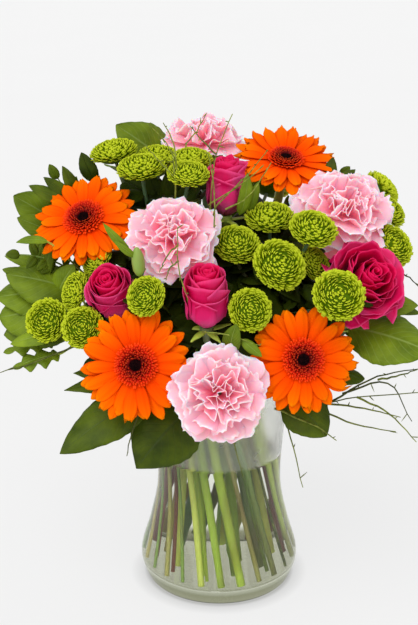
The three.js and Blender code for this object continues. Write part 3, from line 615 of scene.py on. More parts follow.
def floorFinish():
    shader = Shader("floor", Roughness=0.7, Specular_IOR_Level=0.1, Emission_Strength=0.745)
    away = shader.add("ShaderNodeVectorMath", {"operation": "LENGTH"}, {0: shader.place(5.0)}, out=1)
    glowWithPaintedShadow = shader.ramp(away, (0.0, 1.0), (0.29, 1.0), (0.32, 0.5, 0.5, 0.49), (0.34, 0.8), (0.40, 1.0))
    shader.wear("Emission Color", glowWithPaintedShadow)  # painted contact shadow: the floor glows less in a ring at the edge of the foot, 64 mm out
    dust = shader.cloud(shader.place(3.0), 2.0)
    return shader.wear("Base Color", shader.ramp(dust, (0.3, 0.138), (0.7, 0.142)))


finishes = {
    "ray": gerberaRayFinish(), "fringe": gerberaFringeFinish(), "eye": eyeFinish(),
    "carnation": carnationFinish(), "rose": roseFinish(), "pompon": pomponFinish(),
    "leaf": leafFinish("broadLeaf", 0), "paintedShade": leafFinish("shadedLeaf", 0.5),
    "stem": stemFinish(), "twig": twigFinish(),
    "glass": glassFinish(), "water": waterFinish(), "floor": floorFinish(),
}
print("materials made")


# Stems
stemLook = {
    "girth": 1.1, "wobble": 0.14, "waves": 0.02, "knot": 0.28, "knotEvery": 5, "resolution": 3,
    "bract": 0.5,  # the thickness of bracts and sepals
}


def flowerStem(flower, radius, cup, knots):
    look, base, faces = stemLook, Vector(flower["at"]), Vector(flower["faces"]).normalized()
    line = stemLine(flower, base - faces * cup[0][0], faces)
    wobble = [noise.noise(point * look["waves"]) * look["wobble"] + look["girth"] for point in line]
    if knots:  # carnations swell at their nodes
        every, swell = look["knotEvery"], look["knot"]
        wobble = [share + (swell if i % every == 3 else 0) for i, share in enumerate(wobble)]
    radii = [radius * share for share in wobble]
    return line + [base - faces * back for back, _ in cup[1:]], radii + [wide for _, wide in cup[1:]]


# A look's cup gives how far behind the bloom and how wide its end of the stem is.
def finishStem(flower, bm, look, tone, knots=False):
    if len(bm.faces):  # bracts or sepals
        thicken(bm, stemLook["bract"])
        bmesh.ops.transform(bm, matrix=toMillimetres @ seatOf(flower), verts=bm.verts)
    tubes(bm, [(*flowerStem(flower, look["stem"], look["cup"], knots), tone)], stemLook["resolution"])
    finishPiece(flower["node"] + "Stem", bm, ["stem"], [flower["node"] + "_stem"])


# Gerberas
gerberaLook = {
    "rings": [  # rays, how far they are turned, and the ranges of that, reach, half width, height and droop
        (22, 0, (-0.18, 0.18), (0.94, 1.05), (0.112, 0.132), 1.6, (-0.5, 0.5), (0.5, 5)),
        (17, 0.4, (-0.25, 0.25), (0.84, 0.98), (0.108, 0.13), 4, (-0.4, 0.6), (0, 3))],
    "rayGrid": (8, 14), "rayStart": 9, "rayThickness": 0.4,
    "fringe": [  # rings of short florets: how many, from, to, up at both ends, tone
        (44, 11.5, 18.6, 5.8, 8.6, 0.0), (44, 11, 16.8, 6.8, 10.0, 0.15), (42, 10, 14.8, 7.4, 11.0, 0.4),
        (38, 9, 12.8, 7.8, 11.4, 0.6), (34, 8, 10.9, 8.0, 11.2, 0.75), (28, 6.6, 9.2, 8.0, 11.0, 0.85),
        (22, 4.6, 7.2, 8.0, 10.6, 0.95)],
    "floretGrid": (2, 4), "floretHalf": 0.95, "base": ((0, 0, 3.2), (12, 12, 5.2)),
    "buds": 60, "bud": (0.5, 0.5, 1.5), "eyeRadius": 5.2, "eyeHeight": 7.4, "eyeRise": 1.6,
    "bracts": 26, "bractLength": 8.4, "bractHalf": 1.7,
    "stem": 3.4, "cup": [(12, 3.3), (8, 4.4), (4, 6.6), (0.6, 7.6)],
}


def gerberaRay(bm, dice, turn, reach, half, up, droop, lift):
    twist = dice.uniform(-0.22, 0.22)
    sway = dice.uniform(-2.0, 2.0)
    notch = dice.uniform(-0.1, 0.35)
    start = gerberaLook["rayStart"]

    def shape(side, along):
        along = 1 - max(0.0, 1 - along) ** 1.15  # rows stand closer at the round tip
        wide = half * (0.40 + 0.60 * ease(along / 0.55))
        wide *= math.sqrt(max(0.09, 1 - max(0.0, (along - 0.72) / 0.28) ** 2.3))
        out = start + (reach - start) * along
        out -= 1.6 * side ** 2 * ease((along - 0.6) / 0.4)
        out -= notch * math.cos(fullTurn * side) * ease((along - 0.9) / 0.1)
        height = up + 3.4 * math.sin(math.pi * 0.62 * along)
        height += (lift * max(0.0, math.sin(turn)) - droop) * along ** 2
        height += 0.5 * math.cos(fullTurn * side) * ease(along / 0.4) - 1.2 * side ** 2 * ease(along / 0.5)
        height += side * wide * twist * along
        return around(turn, out, side * wide + sway * along ** 2, height)

    sheet(bm, gerberaLook["rayGrid"], shape, dice.uniform(0.1, 1))


def gerberaFloret(bm, dice, turn, low, high, upLow, upHigh, tone):
    def shape(side, along):
        wide = gerberaLook["floretHalf"] * (0.6 + 0.5 * math.sin(math.pi * along))
        wide *= 1 - 0.5 * ease((along - 0.8) / 0.2)
        height = mix(upLow, upHigh, along ** 0.7) - 0.3 * side ** 2
        return around(turn, mix(low, high, along), side * wide, height)

    sheet(bm, gerberaLook["floretGrid"], shape, limit(tone + dice.uniform(-0.12, 0.12)), 1)


def gerberaBract(bm, turn, low, tone):
    look = gerberaLook

    def shape(side, along):
        out = mix(3.2, 8.6, ease(along)) + 0.5 * (low + 9) / 6
        wide = look["bractHalf"] * (1 - along ** 2) ** 0.8 + 0.1
        return around(turn, out, side * wide, low + along * look["bractLength"])

    sheet(bm, look["floretGrid"], shape, tone)


def makeGerbera(flower, seed):
    dice = random.Random(seed)
    look, size, node, lift = gerberaLook, flower["size"], flower["node"], flower.get("lift", 0)
    bm = newMesh()
    for count, on, turns, reaches, halves, height, heights, droops in look["rings"]:
        for i in range(count):
            turn = fullTurn * (i + on + dice.uniform(*turns)) / count
            reach, half = size * dice.uniform(*reaches), size * dice.uniform(*halves)
            up, droop = height + dice.uniform(*heights), dice.uniform(*droops)
            gerberaRay(bm, dice, turn, reach, half, up, droop, lift)
    for count, low, high, upLow, upHigh, tone in look["fringe"]:
        for i in range(count):
            turn = fullTurn * (i + dice.uniform(-0.3, 0.3)) / count + tone
            reach = high * (0.94 - 0.01 * lift) + dice.uniform(-0.9, 0.9)
            gerberaFloret(bm, dice, turn, low, reach, upLow, upHigh, tone)
    thicken(bm, look["rayThickness"])
    ball(bm, *look["base"], tone=0.8, material=1)  # the dark base that the florets grow from
    finishPiece(node + "Rays", bm, ["ray", "fringe"], [node + "_rays"], seatOf(flower))

    eye = newMesh()
    for i in range(look["buds"]):
        share = math.sqrt((i + 0.5) / look["buds"])
        height = 9.2 + dice.uniform(-0.25, 0.25) - look["eyeRise"] * share ** 2
        ball(eye, polar(i * goldenAngle, look["eyeRadius"] * share * 0.96, height), look["bud"], 1)
    ball(eye, (0, 0, look["eyeHeight"]), (look["eyeRadius"], look["eyeRadius"], look["eyeRise"]))
    finishPiece(node + "Eye", eye, ["eye"], [node + "_eye"], seatOf(flower))

    stem = newMesh()
    for i in range(look["bracts"]):
        gerberaBract(stem, i * goldenAngle, -9 + 6 * i / look["bracts"], dice.uniform(0.2, 0.5))
    finishStem(flower, stem, look, 0.12 + 0.25 * dice.random())


makeEach(makeGerbera, gerberas, 11)
print("gerberas made")

# Carnations
carnationLook = {
    "grid": (24, 10), "steps": 24, "thickness": 0.35,
    "full": 39,  # the size that the layers are given for
    "layers": [  # petals, lean from the axis in degrees, length, half width, fold depth, pale share
        (5, 99, 46, 28, 2.4, 1.0), (5, 82, 42, 26, 4.4, 0.85), (5, 63, 38.5, 22, 6.2, 0.6),
        (5, 43, 35.5, 18, 6.6, 0.45), (4, 25, 33, 14.5, 6.2, 0.3), (3, 8, 31.5, 10.5, 4.8, 0.2)],
    "stem": 2.5, "cup": [(22, 2.5), (20, 4.6), (14, 5.8), (6, 6.2), (0.6, 6.4)],
}


def carnationPetal(bm, dice, turn, lean, length, half, fold, tone, scale):
    columns, steps = carnationLook["grid"][0], carnationLook["steps"]
    folds = dice.choice([0.8, 1.1, 1.4, 1.7]) * math.pi
    phase, phase2 = dice.uniform(0, 6.28), dice.uniform(0, 6.28)
    lift = dice.uniform(-0.08, 0.08)
    teeth = [dice.uniform(0, 0.045 + 0.035 * tone) for _ in range(columns + 1)]
    path = [(0.0, 0.0)]  # the petal's middle line, out and up
    for i in range(steps):
        angle = math.radians(lean) * ease((i + 0.5) / steps * (1.6 + 1.5 * lean / 90)) + lift
        out, up = path[-1]
        path.append((out + math.sin(angle) * length / steps, up + math.cos(angle) * length / steps))

    def shape(side, along):
        tooth = teeth[round((side + 1) / 2 * columns)]
        step = along * (1 - tooth * ease((along - 0.8) / 0.2) - 0.13 * side ** 4) * steps
        i = min(int(step), steps - 1)
        out, up = (mix(path[i][k], path[i + 1][k], step - i) for k in (0, 1))
        ahead = (path[i + 1][0] - path[i][0], path[i + 1][1] - path[i][1])
        norm = math.hypot(*ahead)
        wide = half * (0.12 + 0.88 * ease(along / 0.85) ** 0.9)
        ruffle = 0.2 * ease((along - 0.7) / 0.3) * math.sin(3.4 * folds * side + phase2)
        push = math.sin(folds * side + phase) + 0.35 * math.sin(2.6 * folds * side + phase2)
        push = fold * (push * along ** 1.5 + ruffle)
        out += 2.2 - push * ahead[1] / norm
        up += push * ahead[0] / norm
        return around(turn, out, side * wide, up) * scale

    sheet(bm, carnationLook["grid"], shape, tone)


def makeCarnation(flower, seed):
    dice = random.Random(seed)
    look, node, scale = carnationLook, flower["node"], flower["size"] / carnationLook["full"]
    bm = newMesh()
    for layer, (count, lean, length, half, fold, pale) in enumerate(look["layers"]):
        for i in range(count):
            turn = fullTurn * (i + 0.5 * (layer % 2) + dice.uniform(-0.22, 0.22)) / count
            leans, long = lean + dice.uniform(-12, 9), length * dice.uniform(0.8, 1.05)
            wide, tone = half * dice.uniform(0.85, 1.1), limit(pale + dice.uniform(-0.15, 0.15))
            carnationPetal(bm, dice, turn, leans, long, wide, fold, tone, scale)
    finishPiece(node + "Petals", bm, ["carnation"], [node + "_petals"],
                seatOf(flower), look["thickness"])
    finishStem(flower, newMesh(), look, 0.5 + 0.14 * dice.random(), True)


makeEach(makeCarnation, carnations, 31)
print("carnations made")

# Roses
roseLook = {
    "grid": (14, 12), "heartGrid": (40, 6), "thickness": 0.3,
    "full": 20,  # the size that the layers are given for
    "layers": [  # petals, belly radius, top radius, height, share of the turn, curl of the lip, tone
        (2, 5.4, 4.6, 47, 0.62, 0.2, 0.0), (3, 8.4, 7.4, 47.5, 0.48, 0.5, 0.05),
        (3, 11.4, 10.4, 48, 0.46, 0.9, 0.15), (3, 14.2, 13.4, 47, 0.44, 1.5, 0.45),
        (3, 16.6, 15.8, 44, 0.44, 2.2, 0.8), (4, 18.4, 17.2, 37, 0.36, 2.6, 1.0)],
    "sepals": 5, "sepalGrid": (4, 10), "sepalHalf": 3.2, "sepalReach": 17, "sepalTone": 0.3,
    "stem": 2.9, "cup": [(11, 2.9), (8, 4.6), (4, 6), (0.6, 5)],
}


def rosePetal(bm, dice, turn, belly, top, height, share, curl, tone, scale, opening):
    half = math.pi * share * (1.15 - 0.2 * opening)
    lean = dice.uniform(-0.5, 0.5) + opening * dice.uniform(-2.5, 2.5)
    lipShift = dice.uniform(-1.5, 1.5)
    waves = [(0.35 * curl + 1.6 * opening) * dice.uniform(0.5, 1.0) for _ in range(2)]
    phases = [dice.uniform(0, 6.28) for _ in range(2)]
    tip = dice.uniform(0.4, 1.6) * (1 + 2 * opening)
    fold = 1.3 * curl * (1 + opening)

    def shape(side, along):
        edge = 1 - 0.17 * abs(side) ** 2.6 + 0.02 * (1 - abs(side))
        rim, lip = ease((along - 0.45) / 0.55), ease((along - 0.78) / 0.22)
        out = mix(belly, top, ease((along - 0.5) / 0.5))
        if along < 0.5:
            out = belly * (0.2 + 0.8 * math.sin(math.pi * along))
        out += curl * lip * (1 + 0.4 * math.sin(3 * side + lipShift)) + 0.9 * side
        flare = 1 + 0.12 * math.sin(5 * side + lipShift)
        out += opening * belly * 0.42 * ease((along - 0.25) / 0.75) * flare
        out += fold * 0.5 * ease((abs(side) - 0.6) / 0.4) * ease(along / 0.6)
        out += waves[0] * rim * math.sin(4.4 * side + phases[0])
        out += opening * 1.3 * rim * math.sin(10 * side + phases[1])
        up = height * along * edge - curl * 0.7 * lip ** 2 - opening * 9 * rim * belly / 20
        up += waves[1] * rim * math.sin(5.6 * side + phases[1]) + tip * rim * (1 - abs(side)) ** 3
        spread = turn + side * half * (0.35 + 0.65 * ease(along / 0.5))
        return polar(spread, max(0.6, out + lean * along), up) * scale

    sheet(bm, roseLook["grid"], shape, tone)


def sepal(bm, turn, bend):
    look = roseLook

    def shape(side, along):
        wide = look["sepalHalf"] * (1 - along) ** 0.8 * (0.75 + 0.4 * math.sin(math.pi * min(1, along * 1.6)))
        out = 3 + look["sepalReach"] * math.sin(math.pi * 0.5 * along) + bend
        up = -4 + 10 * along ** 1.5 * (0.4 + bend) - 7 * along ** 2 * (1 - bend)
        return around(turn, out, side * max(0.25, wide), up - 0.8 * side ** 2)

    sheet(bm, look["sepalGrid"], shape, look["sepalTone"])


def makeRose(flower, seed):
    dice = random.Random(seed)
    look, node, scale = roseLook, flower["node"], flower["size"] / roseLook["full"]
    opening = flower.get("open", 0)
    tall = (0.8 if opening else 1) * flower.get("tall", 1)
    bm = newMesh()

    def rolled(side, along):  # the heart
        turn = (side + 1) * math.pi * 1.9
        out = 1.0 + 0.42 * turn + 0.4 * ease((along - 0.8) / 0.2)
        return polar(turn, out, (14 + 32.5 * along - turn * 0.2) * tall) * scale

    sheet(bm, look["heartGrid"], rolled, 0)
    for layer, (count, belly, top, height, share, curl, tone) in enumerate(look["layers"]):
        opened = opening * mix(0.45, 1, ease(layer / 4))
        count += opening
        for i in range(count):
            turn = fullTurn * (i + dice.uniform(-0.1, 0.1) * (1 + opening)) / count + layer * 1.1
            high = height * tall * dice.uniform(0.97 - 0.03 * layer, 1.0)
            curls, toned = curl * dice.uniform(0.7, 1.3), limit(tone + dice.uniform(-0.12, 0.12))
            rosePetal(bm, dice, turn, belly, top, high, share, curls, toned, scale, opened)
    finishPiece(node + "Petals", bm, ["rose"], [node + "_petals"],
                seatOf(flower), look["thickness"])
    stem = newMesh()
    for i in range(look["sepals"]):
        sepal(stem, 0.3 + fullTurn * i / look["sepals"], dice.uniform(-0.3, 0.6))
    finishStem(flower, stem, look, 0.3 + 0.5 * dice.random())


makeEach(makeRose, roses, 51)
print("roses made")

# Pompon chrysanthemums
pomponLook = {
    "florets": 260, "grid": (2, 3), "half": 0.082, "thickness": 0.35, "tone": 0.08,
    "above": 0.56, "below": 0.4,  # how flat the head is over and under its widest ring
    "lowest": -0.6, "inside": 0.72, "outside": 1.04, "core": 0.84,  # shares of the radius
    # branchTone gives the branches a dark blue-green, painted shade deep among the heads.
    "stem": (2.9, 2.4), "branch": (1.9, 1.5), "branchTone": 0.6,
}
branches = []  # the lines that the leaves of the sprays grow from


def makePompon(bm, dice, seat, radius):
    look = pomponLook
    for i in range(look["florets"]):
        height = mix(1.0, look["lowest"], (i + 0.5) / look["florets"])
        ring = math.sqrt(max(0.0, 1 - height * height))
        squash = look["above"] if height > 0 else look["below"]
        turn = Matrix.Rotation(i * goldenAngle + dice.uniform(-0.09, 0.09) / max(0.3, ring), 3, "Z")
        way = Vector((ring, 0, height * squash))
        crown = Vector((-height, 0, ring * squash)).normalized()
        reach = look["outside"] * dice.uniform(0.95, 1.04)
        bend = 0.17 * dice.uniform(0.8, 1.15) * (0.6 + 0.4 * ring)
        half = look["half"] * dice.uniform(0.88, 1.12) * (0.55 + 0.55 * ring)
        sway = dice.uniform(-0.07, 0.07)

        def shape(side, along):  # the tips bend in to the crown
            spot = way * mix(look["inside"], reach, along ** 0.8)
            spot += crown * (bend * along ** 2 + 0.03 * side ** 2)
            wide = half * (0.8 + 0.4 * math.sin(2.2 * along)) * (1 - 0.3 * ease((along - 0.7) / 0.3))
            spot.y += side * wide + sway * along
            return seat @ ((turn @ spot) * radius)

        # Painted shade: florets at the middle of the crown and under the head get a darker tone.
        tone = look["tone"] + 0.3 * (1 - ease(ring / 0.3)) + 0.25 * ease(-height / 0.4)
        sheet(bm, look["grid"], shape, limit(tone + dice.uniform(-0.12, 0.12)))


def makeSpray(spray, seed):
    dice = random.Random(seed)
    look, node, top = pomponLook, spray["node"], Vector(spray["fork"])
    line = stemLine(spray, top, skyward)
    lines = [(line, taper(len(line), *look["stem"]), dice.uniform(0.0, 0.3))]
    seats = []
    bm = newMesh()
    branches.append(line[-3:])
    start = top - (top - line[-2]).normalized()
    for middle, radius, *turned in spray["heads"]:
        centre = Vector(middle)
        faces = (Vector(turned[0]) if turned else centre - Vector(sheaf["heart"])).normalized()
        neck = centre - faces * radius * 0.2
        bend = neck - faces * 0.45 * (neck - top).length
        route = curve(start, start.lerp(bend, 0.66), neck.lerp(bend, 0.66), neck, 10)
        lines.append((route, taper(len(route), *look["branch"]), look["branchTone"]))
        branches.append(route[2:])
        turn = skyward.rotation_difference(faces).to_matrix().to_4x4()
        seats.append((Matrix.Translation(centre) @ turn, radius))
        makePompon(bm, dice, *seats[-1])
    thicken(bm, look["thickness"])
    for seat, radius in seats:  # the dark ball under the florets, painted shade that shows in the gaps between them
        core = radius * look["core"]
        ball(bm, (0, 0, 0), (core, core, core * look["above"]), tone=1, seat=seat)
    tubes(bm, lines, material=1)
    finishPiece(node + "Spray", bm, ["pompon", "stem"], [node])


makeEach(makeSpray, sprays, 71)
print("pompons made")

# Leaves
leafLook = {
    "thickness": 0.5, "thin": 0.4, "smallGrid": (6, 12),
    "arch": 0.07, "base": 0.62, "cup": 0.11, "groove": 0.9, "ripple": 0.022, "quilt": 0.012,
    "stem": (2.2, 1.5), "stalk": (1.1, 0.8), "stalkTone": 0.25,
}


def leafSheet(bm, dice, start, end, width, upper, tone, tip=0.82, lobed=False, grid=(12, 24)):
    look = leafLook
    start, along = Vector(start), Vector(end) - Vector(start)
    length = along.length
    across = along.cross(Vector(upper)).normalized()
    up = across.cross(along).normalized()
    ripple = dice.uniform(0, 6.28)
    bow = dice.uniform(-0.04, 0.04)
    broadest = look["base"] / (look["base"] + tip)
    peak = 0.98 / (broadest ** look["base"] * (1 - broadest) ** tip)

    def shape(side, share):
        wide = peak * max(0.0, share) ** look["base"] * max(0.0, 1 - share) ** tip + 0.012
        if lobed:
            lobe = (share * 3.3 + 0.4) % 1
            wide *= 0.4 + 0.85 * min(lobe / 0.7, (1 - lobe) / 0.3)
        else:
            wide *= 1 + 0.018 * math.sin(46 * share) * abs(side)
        lift = look["arch"] * length * math.sin(math.pi * share ** 0.9)
        groove = look["groove"] * (1 - math.exp(-(side / 0.14) ** 2))
        lift -= (look["cup"] * width * side ** 2 - groove) * wide
        lift += look["ripple"] * width * math.sin(13 * share + ripple + side * 1.5) * abs(side) ** 1.5
        quilt = math.cos(9 * math.pi * (share - abs(side) * 0.35)) * abs(side) * (1 - abs(side)) * 2
        lift += look["quilt"] * width * quilt
        aside = side * wide * width / 2 + bow * length * math.sin(math.pi * share)
        return start + along * share + across * aside + up * lift

    sheet(bm, grid, shape, tone)


def makeLeafyStem(stem, seed):
    dice = random.Random(seed)
    look = leafLook
    line = stemLine(stem, Vector(stem["top"]), skyward)
    joint = line[-2]
    bm = newMesh()
    lines = [(line, taper(len(line), *look["stem"]), dice.uniform(0.7, 1.0))]
    for leaf in stem["leaves"]:
        leafSheet(bm, dice, *leaf)
        start, reach = Vector(leaf[0]), Vector(leaf[1]) - Vector(leaf[0])
        arrives, end = start - reach * 0.12, start + reach * 0.04
        stalk = curve(joint, joint.lerp(start, 0.5) + skyward * 4, arrives, end, 6)
        lines.append((stalk, taper(len(stalk), *look["stalk"]), look["stalkTone"]))
    thicken(bm, look["thickness"])
    tubes(bm, lines, material=1)
    finishPiece(stem["node"] + "Greens", bm, ["leaf", "stem"], [stem["node"]])


makeEach(makeLeafyStem, leafyStems, 91)

sprigLook = {"pairs": 5, "steps": 16, "faces": (0.1, -0.9, 0.4), "stem": (1.6, 0.6), "stemTone": 0.5}


def makeSprig(sprig, seed):
    dice = random.Random(seed)
    look = sprigLook
    low, middle, top = (Vector(point) for point in sprig["route"])
    length, width = sprig["leaflet"]
    steps, pairs = look["steps"], look["pairs"]
    shares = [i / steps for i in range(steps + 1)]
    rib = [low * (1 - t) ** 2 + middle * (2 * t * (1 - t)) + top * t * t for t in shares]
    line = stemLine(sprig, low, (middle - low).normalized())
    bm = newMesh()
    for i in range(2 * pairs + 1):
        last = i == 2 * pairs
        share = 1 if last else 0.12 + 0.84 * (i // 2) / pairs
        step = int(share * steps)
        along = (rib[min(steps, step + 1)] - rib[max(0, step - 1)]).normalized()
        across = along.cross(Vector(look["faces"])).normalized()
        side = 0 if last else (1 if i % 2 else -1)
        way = (along + across * side * 1.5).normalized()
        reach = way * length * (1.05 - 0.35 * share) * dice.uniform(0.9, 1.05)
        upper, tone = across.cross(along).normalized(), dice.uniform(0.2, 0.5)
        leafSheet(bm, dice, rib[step], rib[step] + reach, width, upper, tone, grid=leafLook["smallGrid"])
    thicken(bm, leafLook["thin"])
    whole = line + rib[1:]
    tubes(bm, [(whole, taper(len(whole), *look["stem"]), look["stemTone"])], 1, 1)
    finishPiece(sprig["node"] + "Greens", bm, ["leaf", "stem"], [sprig["node"]])


makeEach(makeSprig, sprigs, 111)
print("greens made")

# The greens that fill the inside of the bouquet, near-black with painted shade: low tones, a darkened leaf
# finish and dark stems
fillerLook = {
    "stems": 44, "leaves": 9, "grid": (6, 10), "tries": 6,
    "length": (40, 58), "width": (20, 30), "tone": (0.0, 0.16),
    "reach": (126, 104, 158),  # half the size of the hull they grow to, from the heart
    "stem": (1.8, 0.8), "stemTone": 0.6, "stalk": (1.4, 2.1), "stalkTones": [0.3, 0.5, 0.75, 0.9, 1.0],
}
sprayLeafLook = {
    "perBranch": 5, "grid": (6, 14), "tries": 8,
    "ways": [(-1, 1), (-1, 1), (-0.35, 0.6)],  # they seldom point down
    "length": (24, 40), "width": (15, 24), "tone": (0.0, 0.2),
}


def hides(spot):  # true for a point in a bloom or right before it
    for flower in gerberas + carnations + roses:
        faces = Vector(flower["faces"]).normalized()
        way = spot - Vector(flower["at"])
        ahead = way.dot(faces)
        if ahead > -6 and (way - faces * ahead).length < flower["size"] * 1.08:
            return True
    for middle, radius, *_ in [head for spray in sprays for head in spray["heads"]]:
        way = spot - Vector(middle)
        seen = Vector((way.x, 0, way.z + way.y * 0.35))  # from the front, where one looks down a little
        if way.length < radius * 1.25 or (way.y < 0 and seen.length < radius * 1.1):
            return True
    return False


def fillerStalks(seed):  # more stalks for the sheaf in the water
    dice = random.Random(seed)
    look, places = fillerLook, sheaf["between"]["places"]
    lines = []
    for place in range(places):
        end = polar(sheaf["front"] + fullTurn * place / places - 0.4, 20, sheaf["bindingHeight"] + 30)
        line = stemLine({"ring": "between", "place": place + dice.uniform(-0.15, 0.15)}, end, skyward, 4)
        radii = taper(len(line), dice.uniform(*look["stalk"]), look["stalk"][0])
        lines.append((line, radii, dice.choice(look["stalkTones"])))
    return lines


def fillerRoute(dice, i):
    look, heart = fillerLook, Vector(sheaf["heart"])
    turn, lift = i * goldenAngle, mix(1.35, -0.12, (i + 0.5) / look["stems"])
    way = Vector((math.cos(turn) * math.cos(lift), math.sin(turn) * math.cos(lift), math.sin(lift)))
    end = heart + Vector([a * b for a, b in zip(way, look["reach"])]) * dice.uniform(0.6, 0.86)
    root = polar(turn, 14, sheaf["bindingHeight"] + 4)
    route = curve(root, root.lerp(end, 0.3) + skyward * 24, root.lerp(end, 0.7) + skyward * 12, end, 10)
    shown = [k for k, spot in enumerate(route) if hides(spot)]
    return route[:max(3, shown[0])] if shown else route


def makeFiller(seed):
    dice = random.Random(seed)
    look = fillerLook
    bm = newMesh()
    lines = fillerStalks(seed + 1)
    for i in range(look["stems"]):
        route = fillerRoute(dice, i)
        lines.append((route, taper(len(route), *look["stem"]), look["stemTone"]))
        for k in range(look["leaves"]):
            spot = route[round((0.30 + 0.70 * k / (look["leaves"] - 1)) * (len(route) - 1))]
            outward = (spot - Vector(sheaf["heart"]) + skyward * 10).normalized()
            for _ in range(look["tries"]):  # a leaf that would cover a bloom is tried again another way
                across = outward.cross(anyWay(dice)).normalized()
                way = (across * dice.uniform(0.7, 1.0) + outward * dice.uniform(0.15, 0.5)).normalized()
                reach = way * dice.uniform(*look["length"])
                if not any(hides(spot + reach * part) for part in (0.3, 0.5, 0.7, 0.85, 1.0)):
                    width, tone = dice.uniform(*look["width"]), dice.uniform(*look["tone"])
                    leafSheet(bm, dice, spot, spot + reach, width, outward, tone, grid=look["grid"])
                    break
    thicken(bm, leafLook["thickness"])
    tubes(bm, lines, 1, 1)
    finishPiece("fillerGreens", bm, ["paintedShade", "stem"], [])


def makeSprayLeaves(seed):
    dice = random.Random(seed)
    look = sprayLeafLook
    towards = Vector((0, -0.5, 1))
    bm = newMesh()
    for line in branches:
        for k in range(look["perBranch"]):
            spot = line[min(len(line) - 1, round(k * (len(line) - 2) / (look["perBranch"] - 1)))]
            for _ in range(look["tries"]):
                way = Vector([dice.uniform(*span) for span in look["ways"]]).normalized()
                end = spot + way * dice.uniform(*look["length"])
                if not any(hides(spot.lerp(end, part)) for part in (0.4, 0.6, 0.8, 1.0)):
                    upper = (towards - way * way.dot(towards)).normalized()
                    width, tone = dice.uniform(*look["width"]), dice.uniform(*look["tone"])
                    leafSheet(bm, dice, spot, end, width, upper, tone, lobed=k % 2 == 0, grid=look["grid"])
                    break
    thicken(bm, leafLook["thickness"])
    # The leaves among the pompons take the leaf finish darkened by painted shade.
    finishPiece("sprayGreens", bm, ["paintedShade"], [])


makeFiller(131)
makeSprayLeaves(135)
print("filler made")


# Twigs
twigLook = {
    "steps": 5, "bend": (0.35, 0.45), "stem": (1.3, 0.4), "shoot": (0.75, 0.35), "budEvery": 3,
    "budLengths": [1.2, 1.6, 3.2], "budRadii": [0.4, 0.5, 0.1],
}


def knotted(dice, line, size):  # twigs bend a little at each bud
    bent = [point + anyWay(dice, size) for point in line[1:-1]]
    return [line[0], *bent, line[-1]]


def makeTwigs(twig, seed):
    dice = random.Random(seed)
    look, age, stout = twigLook, twig["age"], twig["stout"]
    route = [Vector(point) for point in twig["route"]]
    line = stemLine(twig, route[0], (route[1] - route[0]).normalized())
    whole = line + knotted(dice, smoothLine(route, look["steps"]), look["bend"][0])[1:]
    lines = [(whole, taper(len(whole), look["stem"][0] * stout, look["stem"][1]), age)]
    buds = whole[len(line) + 1::look["budEvery"]]
    for shoot in twig["shoots"]:
        points = smoothLine([Vector(point) for point in shoot], look["steps"])
        points = knotted(dice, points, look["bend"][1] * stout)
        radii = taper(len(points), look["shoot"][0] * stout, look["shoot"][1])
        lines.append((points, radii, limit(age + dice.uniform(-0.4, 0.4))))
        buds += points[look["budEvery"]::look["budEvery"]]
    bm = newMesh()
    tubes(bm, lines, 1)
    for bud in buds:
        way = anyWay(dice).normalized()
        way *= dice.choice(look["budLengths"]) * stout
        tubes(bm, [([bud, bud + way, bud + way * 2], look["budRadii"], age)], 0)
    finishPiece(twig["node"] + "Shoots", bm, ["twig"], [twig["node"]])


makeEach(makeTwigs, twigs, 121)

# A closed carnation bud and single leaves that stand among the flowers
smallGreensLook = {
    "bud": {"from": (-50, -56, 286), "low": (-63, -82, 306), "top": (-65, -87, 330), "radius": 5.2,
            "stalk": 1.5, "stalkSteps": 5, "tone": 0.46,
            "swelling": [(0, 0.3), (0.05, 0.62), (0.2, 0.92), (0.45, 1.0),
                         (0.7, 0.92), (0.88, 0.62), (0.97, 0.34), (1, 0.1)]},
    "leaves": [  # from, to, width, faces, tone
        ((-70, -86, 326), (-90, -92, 351), 7, (0.3, -0.9, 0.2), 1.0),
        ((-66, -86, 322), (-82, -94, 338), 6, (0.3, -0.9, 0.2), 1.0),
        ((8, -106, 250), (12, -114, 277), 15, (-0.2, -0.95, 0.2), 0.7),
        ((16, -108, 262), (32, -114, 250), 9, (0.1, -0.9, 0.4), 0.8),
        ((16, -22, 338), (22, -24, 374), 12, (0.3, -0.9, 0.2), 0.8),
        ((24, -18, 340), (31, -20, 366), 9, (0.3, -0.9, 0.2), 0.5),
        ((-40, 48, 322), (-84, 52, 352), 24, (0, -0.9, 0.4), 0.06),
        ((-44, 46, 318), (-62, 50, 358), 24, (0, -0.9, 0.4), 0.04),
        ((-34, 44, 316), (-46, 46, 358), 22, (0, -0.9, 0.4), 0.08),
        ((-30, 46, 312), (-24, 44, 352), 22, (0, -0.9, 0.4), 0.03),
        ((92, 40, 344), (97, 44, 372), 13, (-0.2, -0.9, 0.3), 0.12),
        ((96, 36, 344), (116, 40, 362), 12, (0, -0.7, 0.7), 0.1)],
}


def makeSmallGreens(seed):
    dice = random.Random(seed)
    bud = smallGreensLook["bud"]
    start, low, top = (Vector(bud[key]) for key in ("from", "low", "top"))
    bm = newMesh()
    for leaf in smallGreensLook["leaves"]:
        leafSheet(bm, dice, *leaf, grid=leafLook["smallGrid"])
    thicken(bm, leafLook["thin"])
    line = [start.lerp(low, i / bud["stalkSteps"]) for i in range(bud["stalkSteps"])]
    radii = [bud["stalk"]] * len(line) + [bud["radius"] * wide for _, wide in bud["swelling"]]
    line += [low.lerp(top, share) for share, _ in bud["swelling"]]
    tubes(bm, [(line, radii, bud["tone"])], 3, 1)
    finishPiece("smallGreens", bm, ["leaf", "stem"], [])


makeSmallGreens(141)
print("twigs made")

